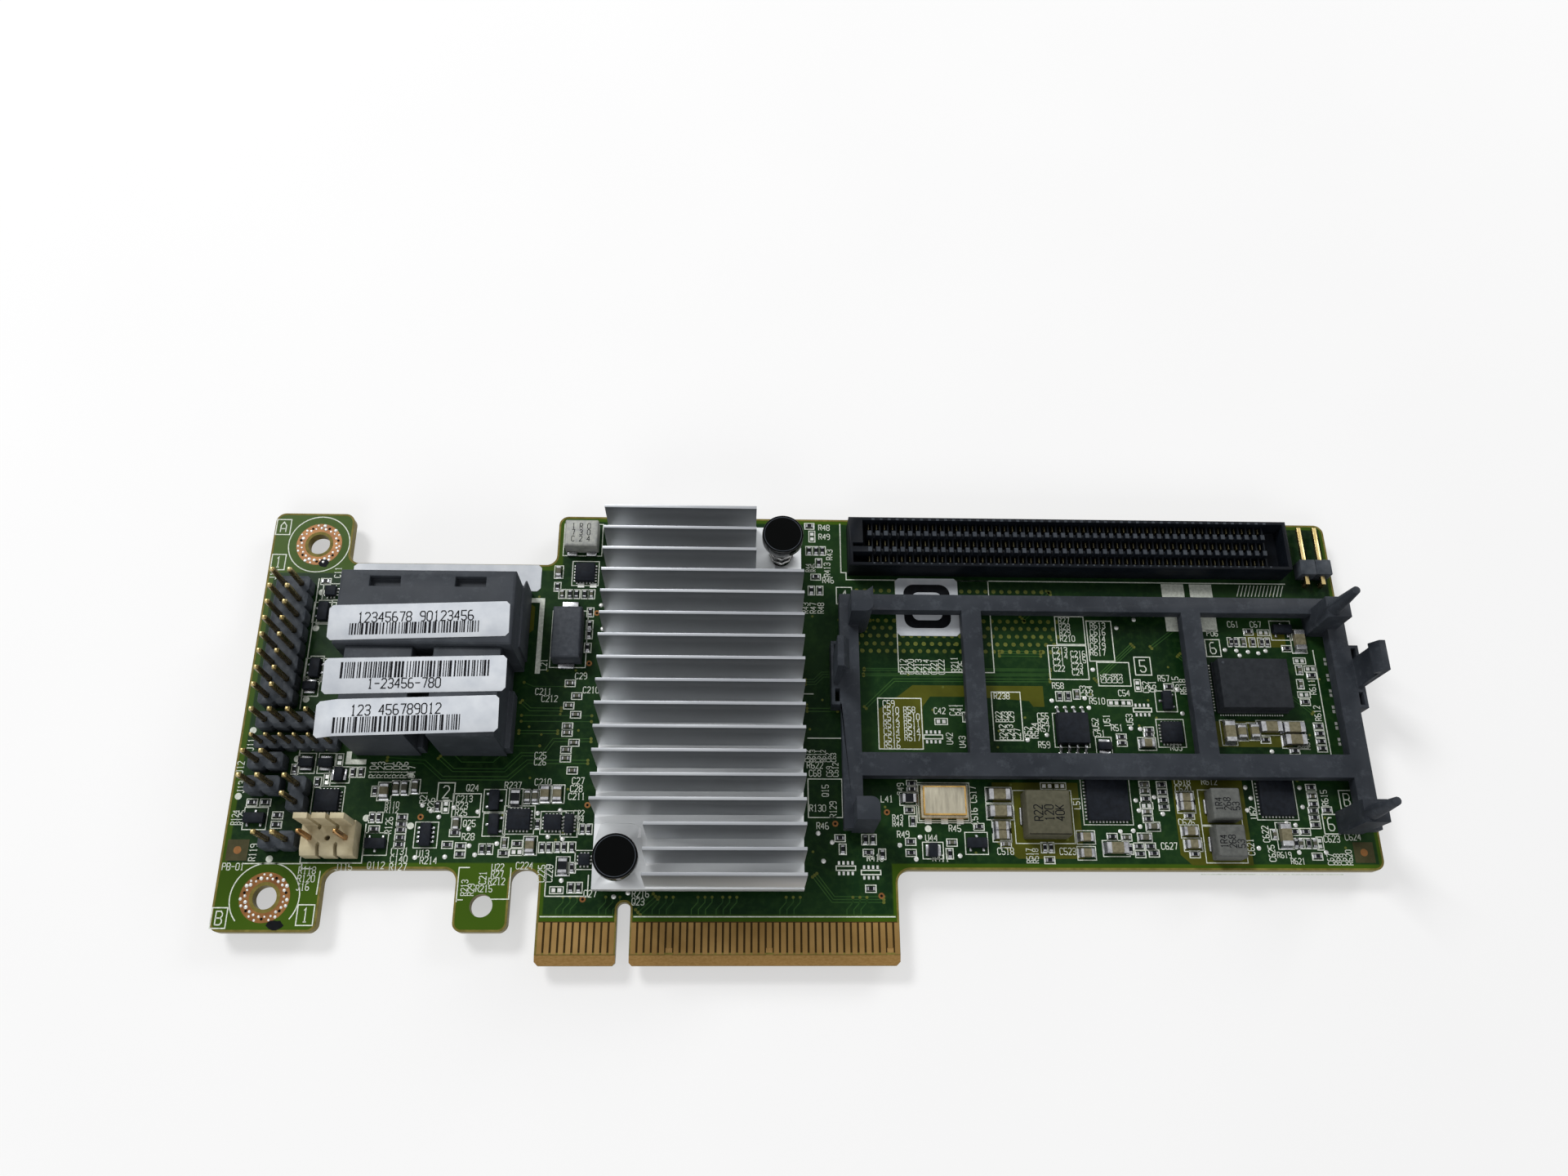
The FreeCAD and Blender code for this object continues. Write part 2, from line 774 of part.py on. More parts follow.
def lock_header_body():
    """Base with a sloped, slotted lip in front and a row of three tall teeth behind."""
    base = prism_along_x([(lock_front, 0), (lock_back, 0), (lock_back, lock_floor),
                          (lock_front + lock_lip_run, lock_floor), (lock_front, lock_floor - lock_lip_drop)],
                         lock_left, lock_right)
    pieces = [base]
    wall_front = lock_back - lock_wall
    step = lock_tooth + lock_tooth_gap
    for i in (-1, 0, 1):
        pieces.append(centred_along_x(lock_middle + i * step, lock_tooth, wall_front, lock_back,
                                      lock_floor, lock_wall_top))
    body = joined(pieces)
    cuts = [centred_box(x, y, pin_side, pin_side, 0, lock_floor) for x, y in lock_pins]
    for x in (lock_middle - step / 2, lock_middle + step / 2):
        cuts.append(pointed_slot(x, lock_front, 1, lock_front_slot, 0, lock_floor))
        cuts.append(pointed_slot(x, wall_front, -1, lock_back_slot,
                                 lock_floor - lock_back_slot_depth, lock_floor))
    cuts.append(prism_up(many_sided(lock_middle, lock_pin_y, lock_recess_radius),
                         lock_floor - lock_recess_depth, lock_floor))
    return body.cut(cuts)


# Mezzanine socket

def castellated_bar(y):
    """Rib between two rows of contacts, notched once for each position."""
    start = socket_left + socket_key_end
    points = [(start, socket_floor)]
    top = socket_height
    for i in range(socket_positions):
        x = start + i * socket_pitch
        points += [(x, top), (x + socket_pitch - socket_notch, top)]
        if i < socket_positions - 1:
            points += [(x + socket_pitch - socket_notch, top - socket_notch_depth),
                       (x + socket_pitch, top - socket_notch_depth)]
    points.append((points[-1][0], socket_floor))
    return prism_along_y(points, y, y + socket_bar)


def mezzanine_socket():
    block = box(socket_left, socket_right, socket_front, socket_back, 0, socket_height)
    hollow = box(socket_left + socket_end_wall, socket_right - socket_end_wall, socket_front + socket_wall,
                 socket_back - socket_wall, socket_floor, socket_height + 1)
    pieces = [block.cut(hollow)]
    first = socket_front + socket_wall + socket_trough
    for i in range(2):
        pieces.append(castellated_bar(first + i * (socket_trough + socket_bar)))
    key_left = socket_left + socket_end_wall
    key_right = socket_left + socket_key_end
    pieces.append(box(key_left, key_right, first, first + socket_bar, socket_floor, socket_height))
    pieces.append(box(key_left, key_right - socket_key_gap, first + socket_bar + socket_key_slot,
                      socket_back - socket_wall, socket_floor, socket_height))
    return joined(pieces)


# Moulded module frame

def post(x0, x1, y0, y1, top, rounded_corner):
    """Square post; the one corner that is named is rounded."""
    corners = [(x0, y0), (x1, y0), (x1, y1), (x0, y1)]
    outline = [(x, y, post_corner if (x, y) == rounded_corner else 0) for x, y in corners]
    return rounded_plate(outline, 0, top)


def spike(x, y, z0):
    """Tapered finger rooted in the post below it."""
    rings = []
    for radius, z in ((spike_foot_radius, z0 - spike_root), (spike_tip_radius, spike_top)):
        corners = [Vector(px, py, z) for px, py in many_sided(x, y, radius)]
        rings.append(Part.makePolygon(corners + corners[:1]))
    return Part.makeLoft(rings, True, True)


def peg(x, y):
    """Square snap peg through the board, tapered at its tip."""
    tip = board_back - peg_length
    half = peg_side / 2
    narrow = peg_tip_side / 2
    taper = half - narrow
    outline = [(x - half, peg_root), (x - half, tip + taper), (x - narrow, tip),
               (x + narrow, tip), (x + half, tip + taper), (x + half, peg_root)]
    return prism_along_y(outline, y - half, y + half)


def latch(edge, outward):
    """Upright spring arm with an inward hook, carried by a slotted foot beside the frame."""
    middle = up(latch_y)
    foot_out = edge + outward * latch_foot
    foot_front = middle - latch_foot_offset - latch_foot_length / 2
    foot_back = foot_front + latch_foot_length
    low, high = sorted((edge - outward * latch_seat, foot_out))
    foot = box(low, high, foot_front, foot_back, latch_foot_lift, frame_top)
    slot_end = latch_seat + latch_window
    slot_low, slot_high = sorted((edge + outward * latch_seat, edge + outward * slot_end))
    gap = (latch_foot_length - latch_width) / 2 - latch_window
    for start in (foot_front + latch_window_inset, foot_back - latch_window_inset - gap):
        foot = foot.cut(box(slot_low, slot_high, start, start + gap, 0, frame_top + 1))
    inner = edge + outward * latch_seat
    outer = inner + outward * latch_arm
    hook = inner - outward * latch_hook
    shoulder = latch_top - latch_hook_height
    root = frame_top - latch_root
    profile = [(inner, root), (inner, shoulder), (hook, shoulder), (hook, shoulder + latch_hook_lip),
               (inner, latch_top), (outer, latch_top), (outer, root)]
    arm = prism_along_y(profile, middle - latch_width / 2, middle + latch_width / 2)
    return joined([foot, arm])


def frame_bars():
    sides = [(frame_left, frame_left + side_bar), (frame_right - side_bar, frame_right)]
    for x in (frame_left + first_cross_bar_inset, frame_right - second_cross_bar_inset):
        sides.append((x, x + cross_bar))
    bars = [box(x0, x1, lower_post_front, top_bar_back, frame_underside, frame_top) for x0, x1 in sides[:2]]
    bars += [box(x0, x1, bottom_bar_front, top_bar_back, frame_underside, frame_top) for x0, x1 in sides[2:]]
    for y0, width in ((bottom_bar_front, bottom_bar_width), (top_bar_front, top_bar_width)):
        bars.append(box(frame_left, frame_right, y0, y0 + width, frame_underside, frame_top))
    return bars


def module_frame():
    pieces = frame_bars()
    for (side, end), (x0, x1, y0, y1, top) in post_boxes().items():
        corner = None
        if side == "left":
            corner = (x1, y1) if end == "lower" else (x1, y0)
        pieces.append(post(x0, x1, y0, y1, top, corner))
        if side == "right":
            pieces.append(spike(x0 + spike_place[0], y0 + spike_place[1], top))
    corner_x, corner_y = post_boxes()["left", "upper"][1], post_boxes()["left", "upper"][3]
    pieces.append(prism_up([(corner_x - nib_length, corner_y), (corner_x, corner_y),
                            (corner_x, corner_y + nib_reach)], frame_underside, left_post_top))
    pieces += [peg(x, y) for x, y in peg_places()]
    pieces += [latch(frame_left, -1), latch(frame_right, 1)]
    return joined(pieces)


# Labels

def flat_label(place, z, crease=None):
    """Sheet on the connector; left of its crease, if it has one, it droops."""
    length, width = hood_label_size
    x = hood_left + hood_label_across[place]
    y = hood_back + hood_label_up[place]
    sheet = cut_corner_plate(-length / 2, length / 2, -width / 2, width / 2, label_corner, -z, z)
    sheet.rotate(Vector(0, 0, 0), Vector(0, 0, 1), hood_label_tilt[place])
    sheet.translate(Vector(x, y, z))
    left, right = x - length, x + length
    path = [(left, z), (right, z)]
    if crease is not None:
        fall = label_droop * (crease - left) / (crease - (x - length / 2))
        path = [(left, z - fall), (crease, z), (right, z)]
    profile = path + [(px, pz + paper) for px, pz in reversed(path)]
    return prism_along_y(profile, y - length, y + length).common(sheet)


def connector_labels():
    return [flat_label("front", hood_height), flat_label("middle", block_height),
            flat_label("rear", block_height, block_spans[0][0])]


def board_label():
    x = hood_left + board_label_middle
    half = board_label_length / 2
    return cut_corner_plate(x - half, x + half, hood_front + board_label_gaps[0],
                            bay_floor - board_label_gaps[1], label_corner, 0, paper)


def area_label():
    x = across(area_label_corner[0])
    return cut_corner_plate(x, x + area_label_width, up(area_label_corner[1]),
                            socket_front - area_label_gap, label_corner, 0, paper)


# Chips

def chips(places, size, turned=False):
    length, width, height = size
    if turned:
        length, width = width, length
    return [centred_box(x, y, length, width, 0, height) for x, y in spread(places)]


def seated(shapes, x, y):
    """Shapes made at the place they were read at, moved to where it lies on the card."""
    for shape in shapes:
        shape.translate(Vector(across(x) - x, up(y) - y, 0))
    return shapes


def middle_of(limits):
    return (limits[0] + limits[1]) / 2, (limits[2] + limits[3]) / 2


def block(x0, x1, y0, y1, height, cut):
    body = box(x0, x1, y0, y1, 0, height)
    return body.makeChamfer(cut, [e for e in body.Edges if is_top_edge(e, height)])


def memory_chip():
    x0, x1, y0, y1, height = memory_body
    pieces = [box(x0, x1, y0, y1, 0.1, height)]
    lead = [(0, 0.7), (0.5, 0.7), (1.2, 0.15), (1.2, 0), (0.5, 0), (0, 0.5)]
    for i in range(4):
        x = (x0 + x1) / 2 + (i - 1.5) * memory_pitch
        for edge, way in ((y0, -1), (y1, 1)):
            outline = [(edge + way * y, z) for y, z in lead]
            pieces.append(prism_along_x(outline, x - memory_lead_width / 2, x + memory_lead_width / 2))
    return seated(pieces, *middle_of(memory_body))


def small_package(x, y, size, leads, turned):
    """Small leaded outline; each lead is an offset along the body, the side it is on and its width."""
    length, width, height = size
    pieces = [centred_box(x, y, length, width, package_lift, height)]
    for offset, side, lead in leads:
        near, far = sorted((side * width / 2, side * (width / 2 + lead_reach)))
        pieces.append(box(x + offset - lead / 2, x + offset + lead / 2, y + near, y + far, 0, lead_height))
    if turned:
        for piece in pieces:
            piece.rotate(Vector(x, y, 0), Vector(0, 0, 1), 90)
    return seated(pieces, x, y)


package_lift = 0.05
lead_reach = 0.5
lead_height = 0.3
lead = 0.35
one_up = [(0, 1, lead), (-0.95, -1, lead), (0.95, -1, lead)]
one_down = [(0, -1, lead), (-0.95, 1, lead), (0.95, 1, lead)]
two_a_side = [(step * 0.65, side, lead) for side in (-1, 1) for step in (-1, 1)]
strip_a_side = [(0, -1, 1.65), (0, 1, 1.65)]
four_a_side = [((step - 1.5) * 0.65, side, lead) for side in (-1, 1) for step in range(4)]
transistor_body = (2.9, 1.4, 1.0)
six_lead_body = (2.0, 1.2, 0.9)
four_lead_body = (2.9, 1.5, 1.0)
eight_lead_body = (3.3, 1.5, 0.9)


def small_packages():
    """Leaded outlines: centre, body, leads and whether the body stands along Y.

    The three fine leads on each side of a six-lead body are one strip.
    """
    placed = [
        (-53.1, 20.3, transistor_body, one_up, False), (-35.6, 16.7, transistor_body, one_down, False),
        (-19.3, 23.0, transistor_body, one_down, True), (-19.1, 19.5, transistor_body, one_up, True),
        (50.6, 17.0, transistor_body, one_up, False), (81.1, 38.7, transistor_body, one_up, True),
        (100.7, 50.4, transistor_body, one_up, False),
        (-46.9, 28.4, six_lead_body, strip_a_side, False), (-44.1, 28.4, six_lead_body, strip_a_side, False),
        (-42.0, 26.7, six_lead_body, strip_a_side, True), (-48.0, 40.1, six_lead_body, strip_a_side, False),
        (44.2, 15.95, six_lead_body, strip_a_side, True), (70.8, 31.5, six_lead_body, strip_a_side, False),
        (-47.6, 52.0, four_lead_body, two_a_side, True), (-47.6, 42.9, four_lead_body, two_a_side, True),
        (-28.65, 18.0, eight_lead_body, four_a_side, True),
    ]
    return [piece for item in placed for piece in small_package(*item)]


def flat_chips():
    """Leadless square chips: left, right, front and back."""
    placed = [
        (67.2, 73.4, 20.3, 26.4), (93.1, 98.2, 21.1, 26.3), (79.7, 82.8, 32.05, 35.3),
        (-17.25, -13.95, 18.7, 21.7), (-11.95, -9.45, 18.7, 20.9), (-44.9, -41.5, 21.25, 24.45),
        (-9.7, -6.7, 57.4, 60.4), (-47.7, -46.1, 54.6, 56.2), (-9.0, -7.7, 18.3, 21.0),
        (-6.7, -5.1, 13.7, 15.3),
    ]
    made = []
    for limits in placed:
        made += seated([box(*limits, 0, flat_chip_height)], *middle_of(limits))
    return made


# Chip places are read across the card, zone by zone, in X and Y of their middles.
# "Across" chips have their long side along X, "upright" ones along Y.

resistors_across = [
    (-53.9, 22.6), (-52.0, 22.6), (-50.0, 20.75), (-50.0, 19.4), (-36.1, 18.8), (-48.0, 57.1),
    (-32.3, 20.5), (-32.3, 19.5), (-32.3, 18.7), (-32.3, 17.6), (-32.3, 16.6), (-24.6, 18.3),
    (-25.5, 16.6), (-23.6, 16.4), (-23.6, 15.25), (-17.45, 15.4), (-15.6, 16.75),
    (26.9, 67.5), (27.8, 58.7), (30.75, 17.7), (34.8, 15.6), (35.0, 10.5), (41.5, 25.75), (41.5, 24.9),
    (41.0, 21.8), (41.0, 17.2), (41.0, 15.6), (51.1, 19.4), (61.1, 14.6), (70.6, 18.0), (74.4, 16.6),
    (76.1, 16.6), (74.5, 15.5), (76.5, 15.6), (76.2, 23.6), (76.2, 20.6), (78.8, 25.7), (78.8, 24.6),
    (78.8, 23.4), (78.8, 22.4), (82.4, 21.1), (82.5, 15.5), (73.6, 33.0), (73.6, 32.1), (77.9, 34.1),
    (77.8, 33.4), (81.8, 41.0), (95.6, 32.7), (99.8, 31.0), (104.1, 34.9), (104.1, 33.7), (104.1, 32.5),
    (104.1, 31.4), (97.7, 18.8), (99.4, 18.8), (100.6, 15.2), (101.3, 25.4), (101.3, 22.9), (101.1, 21.9),
    (101.1, 20.9), (101.1, 19.8), (103.2, 22.0), (101.2, 47.4), (95.5, 50.1), (104.4, 43.0), (102.7, 38.7),
]
resistors_upright = [
    (-48.5, 27.5), (-45.0, 25.6), (-40.1, 27.1), (-38.9, 27.1), (-36.6, 24.3), (-36.5, 20.5), (-35.6, 20.5),
    (-27.4, 22.1), (-12.9, 19.6), (-6.4, 18.9), (-5.55, 18.9), (-20.5, 16.0), (-19.5, 16.0), (-12.0, 16.25),
    (-11.05, 16.25), (-9.8, 16.3), (-8.9, 16.3), (-7.75, 16.3), (-7.6, 13.4), (-7.6, 10.6), (-6.5, 10.6),
    (-12.4, 56.6), (-10.4, 55.4), (-9.4, 55.4), (-8.15, 55.4), (-7.1, 52.4), (-7.1, 50.3), (-7.1, 48.8),
    (-7.2, 46.6), (26.8, 63.2), (27.9, 63.2), (28.9, 63.2), (28.3, 61.1), (27.1, 56.4), (28.4, 56.4),
    (31.1, 16.1), (34.4, 17.5), (35.5, 17.5), (36.8, 15.4), (41.4, 20.2), (46.6, 15.5), (50.2, 36.0),
    (60.5, 16.4), (61.4, 16.4), (73.0, 16.2), (64.7, 39.4), (66.0, 39.4), (97.7, 17.1), (99.5, 17.1),
    (92.5, 48.4), (93.2, 48.4), (95.9, 48.4), (97.3, 48.4), (98.2, 48.4),
]
capacitors_across = [
    (-9.5, 40.9), (-8.4, 38.9), (-9.5, 37.4), (-8.4, 36.0), (-9.5, 34.2), (-9.5, 33.2), (-8.4, 31.7),
    (-9.5, 30.6), (-9.5, 29.3), (-8.4, 27.5), (47.0, 17.1), (54.9, 16.9), (72.7, 17.9), (76.2, 25.75),
    (76.2, 24.8), (76.2, 21.7), (101.3, 24.1),
]
capacitors_upright = [
    (-17.4, 16.9), (-11.6, 55.4), (-7.1, 55.4), (67.4, 39.7), (94.7, 18.4), (98.4, 17.1), (100.5, 17.1),
    (94.4, 48.4), (102.6, 43.9), (102.4, 41.6),
]
medium_across = [(75.4, 17.9), (76.8, 19.5)]
medium_upright = [
    (-33.6, 24.8), (-32.4, 24.8), (-30.9, 25.0), (-24.5, 19.6), (-14.6, 23.6), (-13.5, 23.6), (-12.35, 59.1),
]
large_across = [
    (54.4, 19.5), (54.4, 18.2), (66.7, 17.9), (66.6, 15.6), (82.1, 23.8), (82.1, 22.5), (82.2, 18.8),
    (82.4, 16.9), (77.4, 32.0),
]
large_upright = [(-35.25, 24.3), (-12.1, 24.0), (-10.3, 24.0), (-13.75, 16.5), (92.0, 33.9), (94.0, 34.0)]
largest_across = [(54.3, 24.1), (54.3, 21.6), (71.0, 16.3), (96.5, 34.6), (100.0, 34.5), (100.0, 32.6)]
largest_upright = [(90.1, 33.8), (96.2, 18.2), (103.2, 48.6)]
wide_resistors_across = [(41.0, 23.5)]
wide_resistors_upright = [(-16.3, 23.4), (-8.9, 13.6)]


def back_capacitors():
    """Capacitors behind the controller chip, where such a chip's supply pins come through."""
    length, width, height = back_capacitor_size
    placed = []
    for column in (-1, 1):
        for row in (-1.5, -0.5, 0.5, 1.5):
            x = chip_centre[0] + column * back_capacitor_pitch[0]
            y = chip_centre[1] + row * back_capacitor_pitch[1]
            placed.append(centred_box(x, y, length, width, board_back - height, board_back))
    return placed


# Inductors, oscillator and power module

def inductor(limits, terminals):
    """Moulded block with soldered end plates.

    A terminal is the side it is on, the places where it starts and ends along that
    side, and how far it stands out.
    """
    x0, x1, y0, y1, height = limits
    body = block(x0, x1, y0, y1, height, inductor_edge_cut)
    pieces = [body]
    for side, start, end, reach in terminals:
        places = {
            "left": (x0 - reach, x0 + terminal_bite, y0 + start, y0 + end),
            "right": (x1 - terminal_bite, x1 + reach, y0 + start, y0 + end),
            "front": (x0 + start, x0 + end, y0 - reach, y0 + terminal_bite),
            "back": (x0 + start, x0 + end, y1 - terminal_bite, y1 + reach),
        }
        pieces.append(box(*places[side], 0, terminal_height).cut(body))
    return seated(pieces, *middle_of(limits))


def oscillator():
    x0, x1, y0, y1, height = oscillator_base
    inset = oscillator_lid_inset
    base = box(x0, x1, y0, y1, 0, height)
    lid = box(x0 + inset, x1 - inset, y0 + inset, y1 - inset, height, oscillator_lid_top)
    return seated([base, lid], *middle_of(oscillator_base))


def power_module():
    x0, x1, y0, y1, height = module_base
    inset = module_body_inset
    base = box(x0, x1, y0, y1, 0, height)
    body = box(x0 + inset, x1 - inset, y0 + inset, y1 - inset, height, module_top)
    return seated([joined([base, body])], *middle_of(module_base))


save("circuit_board", [board()])
save("edge_contacts_front", edge_contacts(0, contact_thickness))
save("edge_contacts_back", edge_contacts(board_back - contact_thickness, board_back))
save("heat_sink", [heat_sink()])
save("controller_chip", [controller_chip()])
save("thermal_pad", [thermal_pad()])
spring_seats = {"lower": sink_deck - pocket_depth, "upper": sink_deck}
for place, (x, y) in push_pins.items():
    save("push_pin_" + place, [push_pin(x, y)])
    save("push_pin_spring_" + place, [spring(x, y, spring_seats[place], pin_head_bottom)])

save("cable_connector_hood", [connector_hood()])
save("cable_connector_terminal_blocks", terminal_blocks())
save("connector_labels", connector_labels())
save("board_label", [board_label()])
save("area_label", [area_label()])

save("wide_header_body", [header_body(wide_header, coarse_pitch, pin_side)])
save("wide_header_pins", header_pins(wide_header, coarse_pin_top, pin_side))
save("four_pin_header_body", [header_body(four_pin_header, coarse_pitch, pin_side)])
save("four_pin_header_pins", header_pins(four_pin_header, coarse_pin_top, pin_side))
save("fine_header_body", [header_body(fine_header, fine_pitch, fine_pin_side)])
save("fine_header_pins", header_pins(fine_header, fine_pin_top, fine_pin_side))
save("jumper_header_bodies", [header_body(places, coarse_pitch, pin_side) for places in jumper_headers])
save("jumper_header_pins", header_pins(jumper_pins, coarse_pin_top, pin_side))
save("side_header_bodies", side_header_body())
save("side_header_pins", [side_header_pin(x) for x in side_header_pins])
save("locking_header_body", [lock_header_body()])
save("locking_header_pins", header_pins(lock_pins, lock_pin_top, pin_side))

save("mezzanine_socket", [mezzanine_socket()])
save("module_frame", [module_frame()])
save("memory_chip", memory_chip())
save("flat_chips", flat_chips())
save("small_packages", small_packages())
save("oscillator", oscillator())
save("power_module", power_module())
save("small_inductor", inductor(small_inductor_body, small_inductor_plates))
save("long_inductor", inductor(long_inductor_body, long_inductor_plates))
save("large_inductor", inductor(large_inductor_body, large_inductor_plates))
save("inductor_pair", inductor(upper_inductor_body, inductor_pair_plates)
     + inductor(lower_inductor_body, inductor_pair_plates))
save("chip_resistors", chips(resistors_across, size_0402) + chips(resistors_upright, size_0402, True))
save("wide_chip_resistors", chips(wide_resistors_across, size_0805)
     + chips(wide_resistors_upright, size_0805, True))
save("small_chip_capacitors", chips(capacitors_across, size_0402)
     + chips(capacitors_upright, size_0402, True)
     + chips(medium_across, size_0603) + chips(medium_upright, size_0603, True))
save("large_chip_capacitors", chips(large_across, size_0805) + chips(large_upright, size_0805, True)
     + chips(largest_across, size_1206) + chips(largest_upright, size_1206, True))
save("back_capacitors", back_capacitors())
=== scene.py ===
import math
import random

import bmesh
import bpy
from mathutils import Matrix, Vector


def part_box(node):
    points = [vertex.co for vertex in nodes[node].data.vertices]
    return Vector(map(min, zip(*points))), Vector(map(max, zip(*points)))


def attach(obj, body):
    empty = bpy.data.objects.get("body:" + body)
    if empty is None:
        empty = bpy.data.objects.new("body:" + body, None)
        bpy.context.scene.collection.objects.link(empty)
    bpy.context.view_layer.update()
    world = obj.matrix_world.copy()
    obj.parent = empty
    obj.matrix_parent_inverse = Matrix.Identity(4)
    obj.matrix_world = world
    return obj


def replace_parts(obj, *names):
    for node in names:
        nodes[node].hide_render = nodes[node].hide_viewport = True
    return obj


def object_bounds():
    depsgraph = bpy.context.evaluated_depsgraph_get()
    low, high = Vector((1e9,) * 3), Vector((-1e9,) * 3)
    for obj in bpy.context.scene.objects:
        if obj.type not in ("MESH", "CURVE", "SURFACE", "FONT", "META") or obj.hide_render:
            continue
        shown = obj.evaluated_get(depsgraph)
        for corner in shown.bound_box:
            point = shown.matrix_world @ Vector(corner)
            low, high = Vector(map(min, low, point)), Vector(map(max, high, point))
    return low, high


# Looks of the storage controller card. X runs along the card, Y up it and Z out of the
# component side, whose face is at Z 0. Sizes and places are in millimetres; MM turns them
# into metres where Blender takes them.

MM = 0.001
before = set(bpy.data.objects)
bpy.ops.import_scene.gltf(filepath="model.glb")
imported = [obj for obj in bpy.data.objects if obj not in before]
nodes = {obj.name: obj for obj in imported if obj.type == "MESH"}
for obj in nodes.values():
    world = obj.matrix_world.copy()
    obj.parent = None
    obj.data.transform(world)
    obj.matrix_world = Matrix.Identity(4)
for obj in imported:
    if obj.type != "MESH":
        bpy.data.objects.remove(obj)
cad_low, cad_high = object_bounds()
rng = random.Random(7)


def box_of(node):
    """Low and high corner of a CAD node."""
    low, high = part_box(node)
    return low / MM, high / MM


BOARD_BACK = box_of("circuit_board")[0].z
UPPER = 1
LOWER = -1

# Heights of the flat layers above the board's face, lowest first, and the width of a printed line

COPPER = 0.006
VIA = 0.009
LONE_VIA = 0.0096
WINDOW = 0.0108
PAD = 0.014
HOLE = 0.0196
STUB = 0.021
PRINT = 0.022
RING_HOLE = 0.0224
BLOT = 0.0352
LINE = 0.13

# The board's tongue from side to side, and the foot and top of the contacts on it

TONGUE = (-13.0, 40.0)
CONTACTS_FOOT = 1.35
CONTACTS_TOP = 5.95


# Materials

class Shader:
    """A new node material and short ways to add to it."""

    def __init__(self, name, specular=0.5, metallic=0.0, roughness=0.5):
        self.material = bpy.data.materials.new(name)
        self.material.use_nodes = True
        self.tree = self.material.node_tree
        self.bsdf = self.tree.nodes["Principled BSDF"]
        self.bsdf.inputs["Roughness"].default_value = roughness
        self.bsdf.inputs["Metallic"].default_value = metallic
        self.bsdf.inputs["Specular IOR Level"].default_value = specular
        self.place = self.node("ShaderNodeTexCoord").outputs["Object"]

    def node(self, kind, **settings):
        made = self.tree.nodes.new(kind)
        for key, value in settings.items():
            setattr(made, key, value)
        return made

    def feed(self, socket, value):
        """Links an output to a socket, or sets a number, a vector or a colour on it."""
        if isinstance(value, bpy.types.NodeSocket):
            self.tree.links.new(value, socket)
        elif socket.type == "RGBA":
            socket.default_value = (*value, 1)
        else:
            socket.default_value = value

    def noise(self, cells, detail=3.0, roughness=0.55, stretch=(1, 1, 1)):
        """Noise with so many cells to the millimetre."""
        mapping = self.node("ShaderNodeMapping")
        self.feed(mapping.inputs["Scale"], [s * cells / MM for s in stretch])
        self.feed(mapping.inputs["Vector"], self.place)
        noise = self.node("ShaderNodeTexNoise")
        self.feed(noise.inputs["Scale"], 1.0)
        self.feed(noise.inputs["Detail"], detail)
        self.feed(noise.inputs["Roughness"], roughness)
        self.feed(noise.inputs["Vector"], mapping.outputs["Vector"])
        return noise.outputs["Fac"]

    def ramp(self, value, *stops):
        """Colour by value; each stop is a place and a colour."""
        ramp = self.node("ShaderNodeValToRGB")
        elements = ramp.color_ramp.elements
        for element, (position, colour) in zip(elements, (stops[0], stops[-1])):
            element.position = position
            element.color = (*colour, 1)
        for position, colour in stops[1:-1]:
            elements.new(position).color = (*colour, 1)
        self.feed(ramp.inputs["Fac"], value)
        return ramp.outputs["Color"]

    def blend(self, value, dark, pale):
        """Noise turned into colours between two hex codes."""
        return self.ramp(value, (0.3, hex_colour(dark)), (0.7, hex_colour(pale)))

    def mix(self, factor, first, second):
        made = self.node("ShaderNodeMix", data_type="RGBA")
        for index, value in ((0, factor), (6, first), (7, second)):
            self.feed(made.inputs[index], value)
        return made.outputs[2]

    def math(self, how, first, second=0.0):
        made = self.node("ShaderNodeMath", operation=how)
        self.feed(made.inputs[0], first)
        self.feed(made.inputs[1], second)
        return made.outputs[0]

    def axis(self, vector, name):
        split = self.node("ShaderNodeSeparateXYZ")
        self.feed(split.inputs["Vector"], vector)
        return split.outputs[name]

    def facing(self):
        """How far the surface looks up, from -1 to 1."""
        return self.axis(self.node("ShaderNodeNewGeometry").outputs["Normal"], "Z")

    def span(self, value, start, end, low=0.0, high=1.0, kind="LINEAR"):
        """A number from low to high for a value that goes from start to end."""
        made = self.node("ShaderNodeMapRange", interpolation_type=kind)
        settings = {"Value": value, "From Min": start, "From Max": end, "To Min": low, "To Max": high}
        for name, setting in settings.items():
            self.feed(made.inputs[name], setting)
        return made.outputs["Result"]

    def colour(self, value):
        self.feed(self.bsdf.inputs["Base Color"], value)

    def rough(self, value, low, high):
        """Roughness that runs between low and high with a 0 to 1 value."""
        self.feed(self.bsdf.inputs["Roughness"], self.span(value, 0, 1, low, high))

    def bump(self, value, depth):
        """Bumps of a real depth in millimetres."""
        bump = self.node("ShaderNodeBump")
        self.feed(bump.inputs["Strength"], 1.0)
        self.feed(bump.inputs["Distance"], depth * MM)
        self.feed(bump.inputs["Height"], value)
        self.feed(self.bsdf.inputs["Normal"], bump.outputs["Normal"])


def hex_colour(text):
    """Linear colour for an sRGB hex code."""
    values = [int(text[i:i + 2], 16) / 255 for i in (0, 2, 4)]
    return tuple(v / 12.92 if v <= 0.04045 else ((v + 0.055) / 1.055) ** 2.4 for v in values)


def mottled(name, dark, pale, cells, roughness, metallic, fine_cells, depth, specular=0.5,
            stretch=(1, 1, 1)):
    """Finish that wanders between two colours, with a fine grain."""
    shader = Shader(name, specular, metallic)
    shader.colour(shader.blend(shader.noise(cells, stretch=stretch), dark, pale))
    fine = shader.noise(fine_cells, 4.0, stretch=stretch)
    shader.rough(fine, *roughness)
    shader.bump(fine, depth)
    return shader.material


